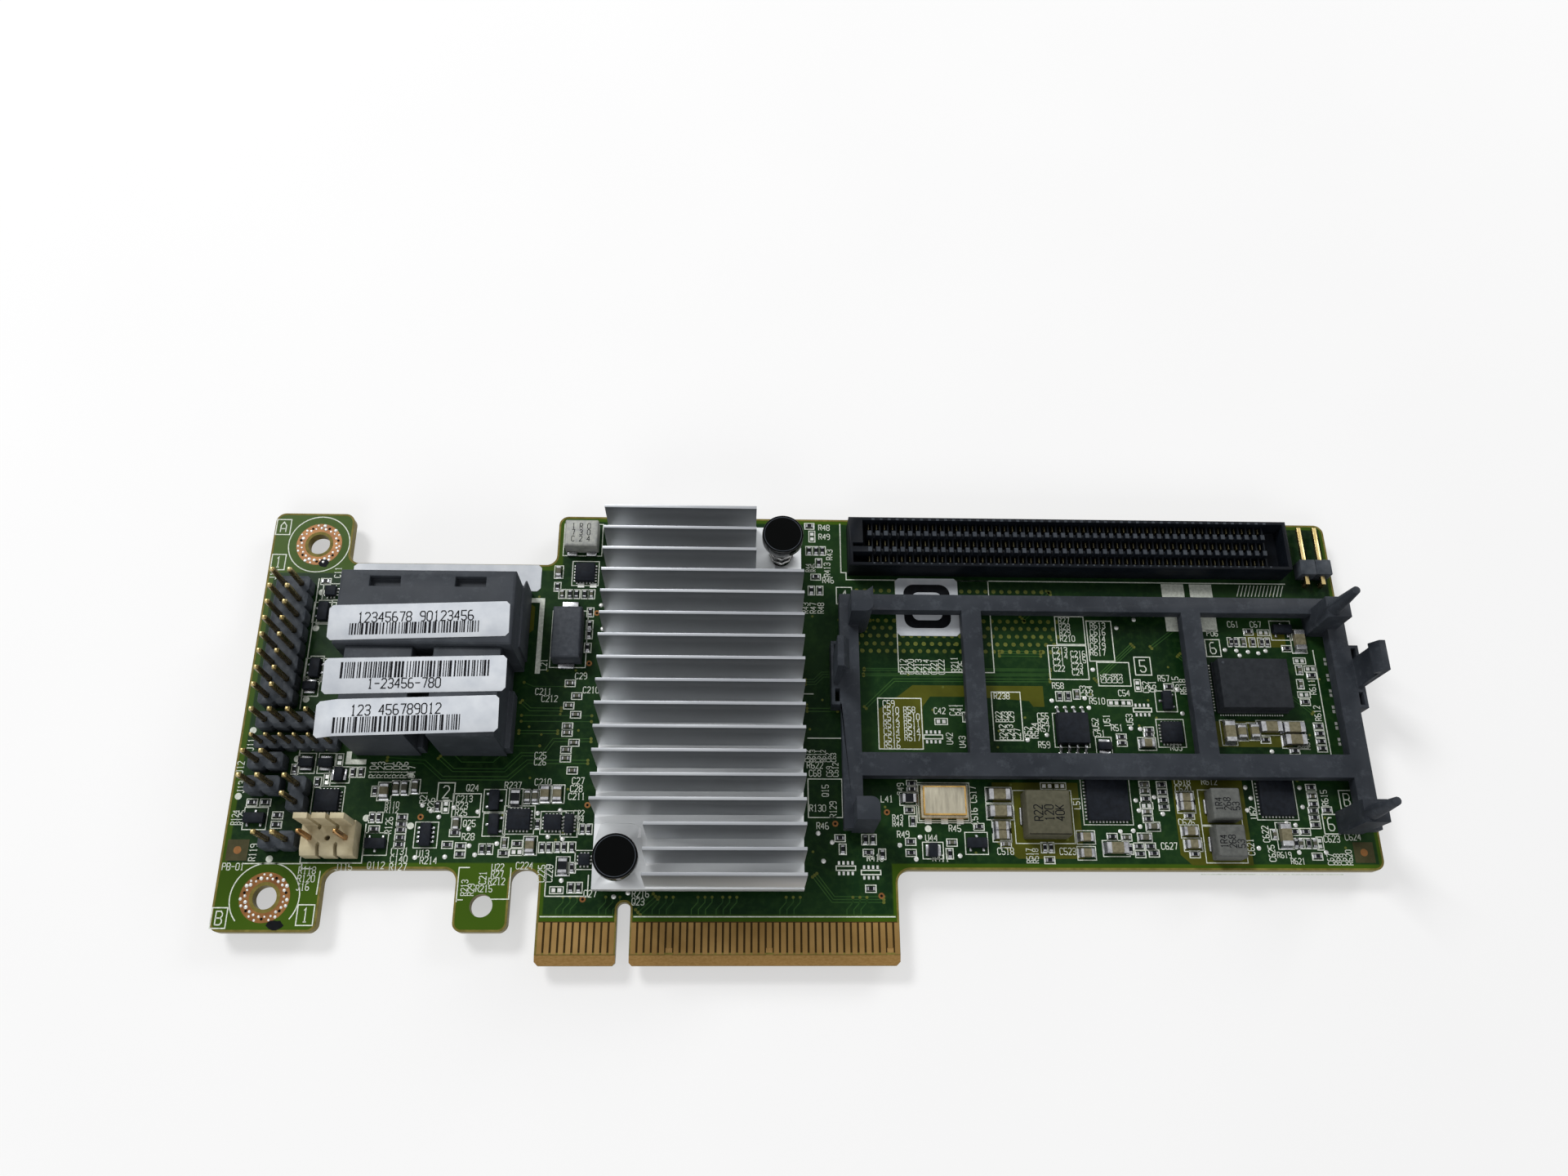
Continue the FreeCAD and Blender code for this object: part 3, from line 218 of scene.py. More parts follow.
def zone(shader, x0, x1, y0, y1, soft=0.3):
    """1 inside a box of X and Y, 0 outside, over a soft edge."""
    value = None
    sides = (("X", x0, x0 + soft), ("X", x1, x1 - soft), ("Y", y0, y0 + soft), ("Y", y1, y1 - soft))
    for axis, start, end in sides:
        side = shader.span(shader.axis(shader.place, axis), start * MM, end * MM, kind="SMOOTHSTEP")
        value = side if value is None else shader.math("MULTIPLY", value, side)
    return value


def board_material():
    """Green mask, darker over the copper planes; bare laminate by the contacts and on cut edges."""
    shader = Shader("board", 0.05)
    broad = shader.noise(0.05)
    fine = shader.noise(0.9, 5.0)
    weave = shader.noise(2.2, stretch=(1, 1, 6))
    over_planes = shader.ramp(broad, (0.32, hex_colour("081c0a")), (0.5, hex_colour("102a12")),
                              (0.7, hex_colour("213a1c")))
    speckle = shader.ramp(fine, (0.45, (0, 0, 0)), (0.7, (0.35, 0.35, 0.35)))
    over_planes = shader.mix(speckle, over_planes, hex_colour("2c4620"))
    main_plane = zone(shader, -56.2, 109.8, 13.9, 68.0)
    tongue_plane = zone(shader, -11.5, 38.3, 6.7, 16.0)
    cable_bay = zone(shader, -45.9, -11.7, 59.2, 70.0)
    upper_tab = zone(shader, -58.0, -44.0, 58.4, 70.0)
    planes = shader.math("SUBTRACT", shader.math("MAXIMUM", main_plane, tongue_plane),
                         shader.math("MAXIMUM", cable_bay, upper_tab))
    face = shader.mix(planes, shader.blend(broad, "30480a", "3c5612"), over_planes)
    tongue = zone(shader, *TONGUE, -2.0, CONTACTS_TOP, 0.05)
    face = shader.mix(tongue, face, shader.blend(weave, "86683a", "98794a"))
    between_contacts = zone(shader, *TONGUE, CONTACTS_FOOT, CONTACTS_TOP, 0.05)
    face = shader.mix(between_contacts, face, hex_colour("33260f"))
    level = shader.math("GREATER_THAN", shader.math("ABSOLUTE", shader.facing()), 0.6)
    shader.colour(shader.mix(level, shader.blend(weave, "5d5324", "83763c"), face))
    shader.rough(fine, 0.25, 0.4)
    shader.bump(fine, 0.004)
    return shader.material


def scuffed(name, dark, pale, scuff, roughness):
    """Moulded plastic with pale smudges where it was handled."""
    shader = Shader(name, 0.12)
    colour = shader.blend(shader.noise(0.12, 4.0), dark, pale)
    smudge = shader.noise(0.5, 8.0, 0.72)
    patches = shader.ramp(smudge, (0.52, (0, 0, 0)), (0.72, (0.6, 0.6, 0.6)))
    shader.colour(shader.mix(patches, colour, hex_colour(scuff)))
    shader.rough(smudge, *roughness)
    shader.bump(shader.noise(4.0, 4.0), 0.005)
    return shader.material


def aluminium_painted_light(name):
    """Aluminium with painted light. Faces that look up are painted pale as a painted highlight. The fins'
    sides are painted darker at the tip than at the root as a painted reflection.
    """
    shader = Shader(name, metallic=0.7)
    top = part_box("heat_sink")[1].z
    depth = shader.span(shader.axis(shader.place, "Z"), top, top - 7.5 * MM)
    # Painted reflection on the fins' sides: dark near the top and pale towards the root.
    side = shader.mix(depth, hex_colour("6a6e72"), hex_colour("d2d4d6"))
    brushed = shader.noise(0.25, stretch=(0.15, 1, 1))
    # Painted highlights on upward faces: the fin tops, and the deck between the fins painted paler.
    fin_tops_painted_highlight = shader.blend(brushed, "82858a", "9a9da0")
    deck_painted_highlight = shader.blend(brushed, "b2b5b7", "ced1d3")
    # Upward faces take the painted highlight colours; the other faces take the painted reflection gradient.
    level = shader.math("GREATER_THAN", shader.facing(), 0.96)
    shader.colour(shader.mix(level, side, shader.mix(depth, fin_tops_painted_highlight, deck_painted_highlight)))
    fine = shader.noise(5.0, 4.0, stretch=(0.15, 1, 1))
    shader.rough(fine, 0.36, 0.5)
    shader.bump(fine, 0.003)
    return shader.material


# Dark and pale colour, cells to the millimetre, roughness, metallic, then cells and depth of
# the grain, and where they aren't the usual ones specular and stretch

FINISHES = {
    "gold": ("73592f", "96794a", 0.12, (0.36, 0.48), 0.3, 3.0, 0.003, 0.1),
    "pin_gold": ("5d523a", "8c7d58", 0.8, (0.2, 0.34), 0.85, 3.0, 0.002),
    # Pale gold for a painted highlight on the header pins' tips.
    "pin_tip_highlight": ("b39c62", "dcc88e", 0.8, (0.25, 0.4), 0.6, 3.0, 0.002),
    # Gold darkened to near brown. These are real gold contacts, with their colour darkened as painted shade
    # for their depth in the socket's slots.
    "blade": ("33301f", "57502f", 0.8, (0.3, 0.45), 0.5, 3.0, 0.002),
    "pin_copper": ("8a6238", "c09460", 0.8, (0.2, 0.35), 0.9, 3.0, 0.002),
    "steel": ("8d8d8c", "c2c1bf", 1.0, (0.2, 0.3), 1.0, 5.0, 0.002),
    "gloss_black": ("010202", "020303", 0.5, (0.04, 0.06), 0.0, 2.0, 0.0005, 0.045),
    "gloss_side": ("040506", "07090b", 0.5, (0.08, 0.12), 0.0, 2.0, 0.001, 0.6),
    "laminate": ("86683a", "98794a", 2.2, (0.4, 0.5), 0.0, 3.0, 0.004, 0.1),
    "chip_black": ("101318", "1b1f26", 1.2, (0.5, 0.68), 0.0, 9.0, 0.005, 0.1),
    "chip_grey": ("1c1f23", "282b2f", 1.2, (0.45, 0.6), 0.0, 9.0, 0.005, 0.1),
    "socket": ("080b10", "10141a", 0.4, (0.4, 0.55), 0.0, 4.0, 0.004, 0.08),
    # Pale grey for painted highlights on the socket's ribs and walls and on the push pins' rims.
    "socket_top": ("2c3036", "3f444a", 0.8, (0.4, 0.55), 0.0, 4.0, 0.004, 0.1),
    "header": ("31363c", "474c52", 0.7, (0.42, 0.58), 0.0, 6.0, 0.005, 0.1),
    "cream": ("a3987a", "bfb596", 0.5, (0.42, 0.55), 0.0, 5.0, 0.004, 0.2),
    "paper": ("bcc1c8", "cdd1d6", 0.4, (0.4, 0.5), 0.0, 2.5, 0.002, 0.1),
    "ink": ("08090b", "14161a", 1.0, (0.5, 0.6), 0.0, 6.0, 0.001, 0.05),
    "solder": ("84858a", "b5b6b8", 1.4, (0.2, 0.36), 0.9, 3.0, 0.006),
    "tin": ("a9aaa8", "d2d3d0", 1.4, (0.3, 0.45), 0.5, 3.0, 0.006),
    "silver": ("8f8a7a", "ada794", 0.9, (0.34, 0.5), 0.5, 2.0, 0.006, 0.5, (3, 0.4, 1)),
    "rim_gold": ("9c7a3c", "c8a35e", 0.8, (0.2, 0.32), 0.8, 3.0, 0.003),
    "annulus": ("6b4526", "8c6237", 0.5, (0.3, 0.42), 0.15, 2.0, 0.004, 0.1),
    "ferrite": ("30343a", "40444a", 1.5, (0.45, 0.6), 0.0, 9.0, 0.01, 0.15),
    "ferrite_olive": ("454436", "535142", 1.5, (0.5, 0.65), 0.0, 9.0, 0.01, 0.15),
    "ferrite_grey": ("4c4e4c", "5e605d", 1.5, (0.5, 0.65), 0.0, 9.0, 0.01, 0.15),
    "ferrite_pale": ("787a7a", "95978f", 1.5, (0.4, 0.55), 0.1, 9.0, 0.01),
    "resistor": ("0a0c10", "14171c", 2.0, (0.3, 0.45), 0.0, 8.0, 0.003, 0.1),
    "ceramic": ("8f8e88", "b3b2ab", 2.0, (0.5, 0.6), 0.0, 8.0, 0.003),
    "capacitor": ("5e5a45", "7c7660", 2.0, (0.4, 0.55), 0.0, 9.0, 0.004, 0.15),
    "capacitor_grey": ("43453b", "5d5c4c", 2.0, (0.4, 0.55), 0.0, 9.0, 0.004, 0.15),
    "silk": ("b9bfb3", "dfe3d9", 2.5, (0.5, 0.65), 0.0, 6.0, 0.004, 0.1),
    "trace": ("1d3d19", "335424", 0.2, (0.25, 0.36), 0.0, 2.0, 0.003, 0.1),
    "pour": ("3d400c", "505216", 0.2, (0.28, 0.4), 0.0, 1.2, 0.004, 0.08),
    "window": ("36341e", "46432c", 0.5, (0.4, 0.5), 0.0, 2.0, 0.004, 0.08),
    "tented": ("4a5020", "646a2f", 0.6, (0.28, 0.4), 0.0, 3.0, 0.004, 0.1),
    "rim": ("5c5424", "7c7138", 0.8, (0.5, 0.65), 0.0, 3.0, 0.004, 0.1),
    # Near black for painted shade: the dark inside of the vias' holes.
    "hole": ("050604", "0d0f0b", 1.0, (0.6, 0.8), 0.0, 3.0, 0.001, 0.05),
    "pad_grey": ("77797a", "8b8d8e", 1.0, (0.6, 0.7), 0.0, 4.0, 0.01),
}

MATERIALS = {key: mottled(key, *finish) for key, finish in FINISHES.items()}
MATERIALS["board"] = board_material()
# The heat sink's aluminium has painted highlights and a painted reflection in its colour.
MATERIALS["aluminium"] = aluminium_painted_light("aluminium")
MATERIALS["plastic"] = scuffed("plastic", "2b2f34", "3c4046", "4c5156", (0.42, 0.6))
MATERIALS["frame"] = scuffed("frame", "1f2329", "33373d", "474c52", (0.42, 0.62))


# Building meshes

def arc(x, y, radius, steps, first=0.0, last=360.0):
    """Points on a circle from the first angle to the last one, both in degrees."""
    angles = [math.radians(first + (last - first) * i / steps) for i in range(steps + 1)]
    return [(x + radius * math.cos(a), y + radius * math.sin(a)) for a in angles]


def circle(x, y, radius, steps):
    return arc(x, y, radius, steps)[:-1]


def band(count, start=0):
    """Faces between two rings of points that follow one another."""
    faces = []
    for i in range(count):
        j = (i + 1) % count
        faces.append((start + i, start + j, start + count + j, start + count + i))
    return faces


def mitred(path, reach, closed=False):
    """A path of (x, y) points moved to its left by a reach, its corners kept sharp."""
    points = [Vector(p) for p in path]
    count = len(points)
    moved = []
    for i, here in enumerate(points):
        ahead = (points[(i + 1) % count] - here).normalized() if closed or i < count - 1 else None
        back = (here - points[i - 1]).normalized() if closed or i > 0 else ahead
        ahead = back if ahead is None else ahead
        normal = Vector((-back.y, back.x))
        across = normal + Vector((-ahead.y, ahead.x))
        across = across.normalized() if across.length > 1e-6 else normal
        moved.append(here + across * (reach / max(0.4, across.dot(normal))))
    return moved


def leaning(angle, along, up):
    """The point so far along and up a row that leans by an angle."""
    cos, sin = math.cos(angle), math.sin(angle)
    return along * cos - up * sin, along * sin + up * cos


def placed(name, mesh, slot=None):
    """An object of the scene that rides on the card."""
    made = bpy.data.objects.new(name, mesh)
    bpy.context.scene.collection.objects.link(made)
    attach(made, "root")
    return made


class Mesh:
    """Points and faces of one piece, each face with a material key.

    What lies flat on the board has a height above its face, or below its back on the lower side.
    """

    def __init__(self):
        self.points = []
        self.faces = []
        self.keys = []

    def add(self, points, faces, key, side=UPPER):
        """Adds faces, turned over on the lower side."""
        start = len(self.points)
        self.points += [tuple(p) for p in points]
        self.faces += [[start + i for i in (face if side == UPPER else reversed(face))] for face in faces]
        self.keys += [key] * len(faces)

    def loft(self, rings, key, bottom=True):
        """Closed rings of equal counts joined into a skin; rings run anticlockwise going up."""
        count = len(rings[0])
        last = (len(rings) - 1) * count
        faces = [face for start in range(0, last, count) for face in band(count, start)]
        faces.append(range(last, last + count))
        if bottom:
            faces.append(range(count)[::-1])
        self.add([p for ring in rings for p in ring], faces, key)

    def box(self, low, high, key, cut=0.0, bottom=True):
        """Box between two corners, its edges cut at 45 degrees where a cut is given."""
        (x0, y0, z0), (x1, y1, z1) = low, high
        if cut <= 0:
            self.loft([[(x0, y0, z), (x1, y0, z), (x1, y1, z), (x0, y1, z)] for z in (z0, z1)], key, bottom)
            return
        c = min(cut, (x1 - x0) * 0.45, (y1 - y0) * 0.45, (z1 - z0) * 0.45)
        rings = []
        for z, inset in ((z0, c), (z0 + c, 0), (z1 - c, 0), (z1, c)):
            a, b, f, g = x0 + inset, x1 - inset, y0 + inset, y1 - inset
            corners = [(a + c, f), (b - c, f), (b, f + c), (b, g - c),
                       (b - c, g), (a + c, g), (a, g - c), (a, f + c)]
            rings.append([(x, y, z) for x, y in corners])
        self.loft(rings, key, bottom)

    def turned(self, x, y, profile, key, steps):
        """Solid of revolution about a line along Z; the profile is (radius, z) going up."""
        self.loft([[(*p, z) for p in circle(x, y, radius, steps)] for radius, z in profile], key)

    def flat(self, points, faces, key, height, side):
        z = height if side == UPPER else BOARD_BACK - height
        self.add([(*p, z) for p in points], faces, key, side)

    def patch(self, corners, key, height=COPPER, side=UPPER):
        self.flat(corners, [range(len(corners))], key, height, side)

    def bar(self, x0, x1, y0, y1, key, height, side=UPPER):
        self.patch([(x0, y0), (x1, y0), (x1, y1), (x0, y1)], key, height, side)

    def spot(self, x, y, radius, key, height=PAD, inner=0.0, steps=14, side=UPPER):
        """Flat disc, or a ring where it has an inner radius."""
        if inner <= 0:
            self.patch(circle(x, y, radius, steps), key, height, side)
            return
        rings = circle(x, y, radius, steps) + circle(x, y, inner, steps)
        self.flat(rings, band(steps), key, height, side)

    def line(self, path, width=LINE, key="silk", height=PRINT, closed=False, side=UPPER):
        """Flat strip along a path of (x, y) points, mitred at its corners."""
        edges = zip(mitred(path, width / 2, closed), mitred(path, -width / 2, closed))
        count = len(path)
        faces = []
        for i in range(count if closed else count - 1):
            j = (i + 1) % count
            faces.append((2 * i, 2 * i + 1, 2 * j + 1, 2 * j))
        self.flat([point for pair in edges for point in pair], faces, key, height, side)

    def frame(self, x0, x1, y0, y1, width=LINE, key="silk", height=PRINT, side=UPPER):
        self.line([(x0, y0), (x1, y0), (x1, y1), (x0, y1)], width, key, height, True, side)

    def frame_round(self, low, high, wide, tall, side=UPPER):
        """Printed frame at so much from a part on either side."""
        self.frame(low.x - wide, high.x + wide, low.y - tall, high.y + tall, side=side)

    def bead(self, x, y, radius, side=UPPER, key="tin"):
        """Low dome of solder."""
        profile = [(1, 0), (0.9, 0.16), (0.55, 0.32), (0.15, 0.38)]
        rings = [(radius * r, radius * z) for r, z in profile]
        if side == LOWER:
            rings = [(r, BOARD_BACK - z) for r, z in reversed(rings)]
        self.turned(x, y, rings, key, 12)

    def write(self, words, x, y, height=0.95, upright=False, key="silk", level=PRINT, turn=0.0, side=UPPER):
        """Stroked characters from (x, y); upright words read up the card, turned ones lean by an angle."""
        angle = turn + (math.pi / 2 if upright else 0)
        for index, character in enumerate(words):
            for stroke in GLYPHS.get(character, ()):
                path = []
                for column, row in stroke.split():
                    along = (int(column) + index * 5.5) * height * 0.12
                    across, up = leaning(angle, along, int(row) * height / 6)
                    path.append((x + side * across, y + up))
                self.line(path, min(0.12 * height, 0.16), key, level, False, side)

    def finish(self, name, slot=None):
        mesh = bpy.data.meshes.new(name)
        mesh.from_pydata([[v * MM for v in point] for point in self.points], [], self.faces)
        keys = sorted(set(self.keys))
        for key in keys:
            mesh.materials.append(MATERIALS[key])
        for polygon, key in zip(mesh.polygons, self.keys):
            polygon.material_index = keys.index(key)
        return placed(name, mesh, slot)


def pieces_of(work):
    """Joined groups of vertices in a bmesh with the corners of their boxes."""
    seen = set()
    for start in work.verts:
        if start in seen:
            continue
        seen.add(start)
        verts = [start]
        for here in verts:
            for edge in here.link_edges:
                other = edge.other_vert(here)
                if other not in seen:
                    seen.add(other)
                    verts.append(other)
        low, high = (Vector([pick(v.co[i] for v in verts) for i in range(3)]) for pick in (min, max))
        yield verts, low, high


def islands(node):
    """Boxes (low, high) of the separate solids of a CAD node."""
    work = bmesh.new()
    work.from_mesh(nodes[node].data)
    bmesh.ops.remove_doubles(work, verts=work.verts, dist=1e-6)
    boxes = [(low / MM, high / MM) for verts, low, high in pieces_of(work)]
    work.free()
    return sorted(boxes, key=lambda box: (round(box[0].x, 3), round(box[0].y, 3), box[0].z))


def by_height(node):
    """Boxes of a node's solids, the tallest one last."""
    return sorted(islands(node), key=lambda box: box[1].z)


def middle(low, high):
    """Centre of a box along X and Y."""
    return (low.x + high.x) / 2, (low.y + high.y) / 2


def refined(node, key, bevel, segments=1, slot=None, angle=32, rule=None):
    """A copy of a CAD node with its sharp edges broken by a small bevel, in its place.

    A rule takes the faces and the high corner of each solid and gives a choice of material key.
    """
    mesh = nodes[node].data.copy()
    mesh.name = node + "_finished"
    work = bmesh.new()
    work.from_mesh(mesh)
    bmesh.ops.remove_doubles(work, verts=work.verts, dist=1e-7)
    bmesh.ops.dissolve_limit(work, angle_limit=math.radians(0.5), verts=work.verts, edges=work.edges)
    keys = [key]
    for verts, low, high in pieces_of(work):
        faces = {face for vert in verts for face in vert.link_faces}
        choose = rule(faces, high) if rule else None
        for face in faces:
            chosen = choose(face) if choose else key
            if chosen not in keys:
                keys.append(chosen)
            face.material_index = keys.index(chosen)
            face.smooth = True
    mesh.materials.clear()
    for each in keys:
        mesh.materials.append(MATERIALS[each])
    work.to_mesh(mesh)
    work.free()
    made = placed(node + "_finished", mesh, slot)
    softened = made.modifiers.new("edges", "BEVEL")
    softened.width = bevel * MM
    softened.segments = segments
    softened.limit_method = "ANGLE"
    softened.angle_limit = math.radians(angle)
    softened.use_clamp_overlap = True
    softened.harden_normals = True
    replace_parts(made, node)


def finish_node(node, key):
    """Shows a CAD node as it is, with a finish of its own."""
    shown = nodes[node].data
    shown.materials.clear()
    shown.materials.append(MATERIALS[key])


def tinned_leads(key, body_height, slack=0.03):
    """What lies beside the outline of a part's top is tinned, the rest has the part's own finish."""
    def rule(faces, high):
        if high.z < body_height * MM:
            return lambda face: "solder"
        top = [vert.co for face in faces if face.normal.z > 0.9
               and face.calc_center_median().z > high.z - 0.1 * MM for vert in face.verts]
        reach = slack * MM
        x0, x1 = min(p.x for p in top) - reach, max(p.x for p in top) + reach
        y0, y1 = min(p.y for p in top) - reach, max(p.y for p in top) + reach

        def choose(face):
            centre = face.calc_center_median()
            return key if x0 < centre.x < x1 and y0 < centre.y < y1 else "solder"

        return choose

    return rule


def lid_and_rim(faces, high):
    """A silver lid on a gilt-edged base."""
    return lambda face: "silver" if face.calc_center_median().z > high.z - 0.05 * MM else "rim_gold"


def dark_top(faces, high):
    """The flat head of a push pin is deep black, its rim and stem shine."""
    return lambda face: "gloss_black" if face.normal.z > 0.9 else "gloss_side"


def tip_painted_highlights(faces, high):
    """The cut ends of header pins are painted a paler gold over their top 0.55 mm, as a painted highlight
    where the tips catch the light.
    """
    return lambda face: "pin_tip_highlight" if face.calc_center_median().z > high.z - 0.55 * MM else "pin_gold"


# Board and edge contacts

finish_node("circuit_board", "board")
finish_node("edge_contacts_front", "gold")
finish_node("edge_contacts_back", "gold")
finish_node("controller_chip", "chip_black")
finish_node("thermal_pad", "pad_grey")


# Heat sink and what holds it

# Its aluminium finish carries painted highlights and a painted reflection.
refined("heat_sink", "aluminium", 0.1, 2, "sink_aluminium")
for place in ("lower", "upper"):
    refined("push_pin_" + place, "gloss_black", 0.28, 3, "pin_black", rule=dark_top)
    refined("push_pin_spring_" + place, "steel", 0.05, 1, "spring_steel", 25)


# Connectors and headers

HEADER_PINS = ("wide_header_pins", "four_pin_header_pins", "fine_header_pins", "jumper_header_pins",
               "side_header_pins")

refined("cable_connector_hood", "plastic", 0.12, 2, "connector_black")
refined("cable_connector_terminal_blocks", "plastic", 0.1, 2, "connector_black")
refined("connector_labels", "paper", 0.02, 1, "paper")
for node, bevel in (
    ("wide_header_body", 0.1), ("four_pin_header_body", 0.1), ("fine_header_body", 0.08),
    ("jumper_header_bodies", 0.1), ("side_header_bodies", 0.1),
):
    refined(node, "header", bevel, 1, "header_black")
for node in HEADER_PINS:
    refined(node, "pin_gold", 0.05, 1, "pin_gold", rule=tip_painted_highlights)
refined("locking_header_body", "cream", 0.12, 2, "cream")
refined("locking_header_pins", "pin_copper", 0.06, 1, "pin_copper")
refined("mezzanine_socket", "socket", 0.04, 1, "connector_black")
refined("module_frame", "frame", 0.14, 2, "frame_black")
finish_node("board_label", "paper")
finish_node("area_label", "paper")


# Chip resistors and capacitors

def drawn_in(low, high, along, ends, sides=0.0, top=0.0):
    """The corners of a box made smaller at both ends, at both sides and at the top."""
    low, high = low.copy(), high.copy()
    low[along] += ends
    high[along] -= ends
    low[1 - along] += sides
    high[1 - along] -= sides
    high.z -= top
    return low, high


def solder_fillet(mesh, low, high, along, near, rise):
    """Wedge of solder from the end of a chip down to its pad."""
    edge = low[along] if near else high[along]
    way = -1 if near else 1
    reach = 0.55 * rise + 0.12
    side = 0.04
    points = []
    for out, z in ((reach, 0), (-0.1 * reach, 0), (0, rise), (reach / 2, rise * 0.3)):
        for across in (low[1 - along] - side, high[1 - along] + side):
            place = (edge + way * out, across)
            points.append((place[along], place[1 - along], z))
    faces = [(0, 1, 7, 6), (6, 7, 5, 4), (0, 6, 4, 2), (1, 3, 5, 7)]
    mesh.add(points, faces, "solder", UPPER if near == (along == 0) else LOWER)


def tinned_ends(mesh, low, high, along, end, cut, rise):
    """Metal caps over both ends of a chip and the solder that rises on them."""
    for near in (True, False):
        cap_low, cap_high = low.copy(), high.copy()
        if near:
            cap_high[along] = low[along] + end
        else:
            cap_low[along] = high[along] - end
        mesh.box(cap_low, cap_high, "solder", cut, bottom=False)
        solder_fillet(mesh, cap_low, cap_high, along, near, rise)


def capacitor(mesh, low, high, size, along):
    """Ceramic block with rounded tinned ends; the larger ones are tan."""
    end = 0.24 * size[along]
    cut = min(0.07, 0.12 * size.z)
    key = "capacitor" if size[along] > 1.7 else "capacitor_grey"
    mesh.box(*drawn_in(low, high, along, end * 0.8, 0.02, 0.02), key, cut)
    tinned_ends(mesh, low - Vector((0, 0, 0.02)), high, along, end, cut, 0.45 * size.z)


def resistor(mesh, low, high, size, along):
    """White ceramic slab, black on top, with tinned ends."""
    end = 0.22 * size[along]
    mesh.box(*drawn_in(low, high, along, end * 0.5, 0, 0.05), "ceramic", 0.02)
    top_low, top_high = drawn_in(low, high, along, end * 0.95)
    top_low.z = high.z - 0.07
    mesh.box(top_low, top_high, "resistor", 0.02)
    tinned_ends(mesh, low, high - Vector((0, 0, 0.02)), along, end, 0.03, 0.6 * size.z)


for node, maker, slot in (
    ("chip_resistors", resistor, "resistor_black"),
    ("wide_chip_resistors", resistor, "resistor_black"),
    ("small_chip_capacitors", capacitor, "capacitor_tan"),
    ("large_chip_capacitors", capacitor, "capacitor_tan"),
):
    mesh = Mesh()
    for low, high in islands(node):
        size = high - low
        maker(mesh, low, high, size, 0 if size.x > size.y else 1)
    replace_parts(mesh.finish(node + "_finished", slot), node)


# Chips and inductors

refined("back_capacitors", "capacitor", 0.06, 1, "capacitor_tan")
refined("flat_chips", "chip_black", 0.06, 1, "chip_black")
refined("small_packages", "chip_black", 0.05, 1, "chip_black", rule=tinned_leads("chip_black", 0.35))
refined("memory_chip", "chip_black", 0.06, 1, "chip_black", rule=tinned_leads("chip_black", 0.9))
refined("oscillator", "silver", 0.12, 2, "can_silver", rule=lid_and_rim)
refined("power_module", "chip_grey", 0.1, 2, "chip_black")
for node, finish, bevel, segments, slot in (
    ("small_inductor", "ferrite_pale", 0.15, 2, "ferrite_pale"),
    ("long_inductor", "ferrite", 0.12, 2, "ferrite"),
    ("large_inductor", "ferrite_olive", 0.3, 2, "ferrite"),
    ("inductor_pair", "ferrite_grey", 0.35, 3, "ferrite"),
):
    refined(node, finish, bevel, segments, slot, rule=tinned_leads(finish, 0.9, 0.6))


# Strokes of the printed characters, each point a column from 0 to 4 and a row from 0 to 6

GLYPHS = {
    "0": ["01 05 16 36 45 41 30 10 01"], "1": ["15 26 20", "10 30"], "2": ["05 16 36 45 44 00 40"],
    "3": ["05 16 36 45 44 33 42 41 30 10 01", "13 33"], "4": ["36 02 42", "36 30"],
    "5": ["46 06 03 33 42 41 30 10 01"], "6": ["36 16 05 01 10 30 41 42 33 03"], "7": ["06 46 20"],
    "8": ["13 04 05 16 36 45 44 33 13 02 01 10 30 41 42 33"], "9": ["10 30 41 45 36 16 05 04 13 43"],
    "A": ["00 04 26 44 40", "02 42"], "B": ["00 06 36 45 44 33 42 41 30 00", "03 33"],
    "C": ["45 36 16 05 01 10 30 41"], "J": ["26 46", "36 31 20 10 01"], "K": ["00 06", "46 02", "13 40"],
    "L": ["06 00 40"], "P": ["00 06 36 45 44 33 03"], "Q": ["01 05 16 36 45 41 30 10 01", "22 40"],
    "R": ["00 06 36 45 44 33 03", "23 40"], "U": ["06 01 10 30 41 46"], "-": ["03 43"],
}

# Printed names beside the parts: where a row starts, its words, and the step to the next word

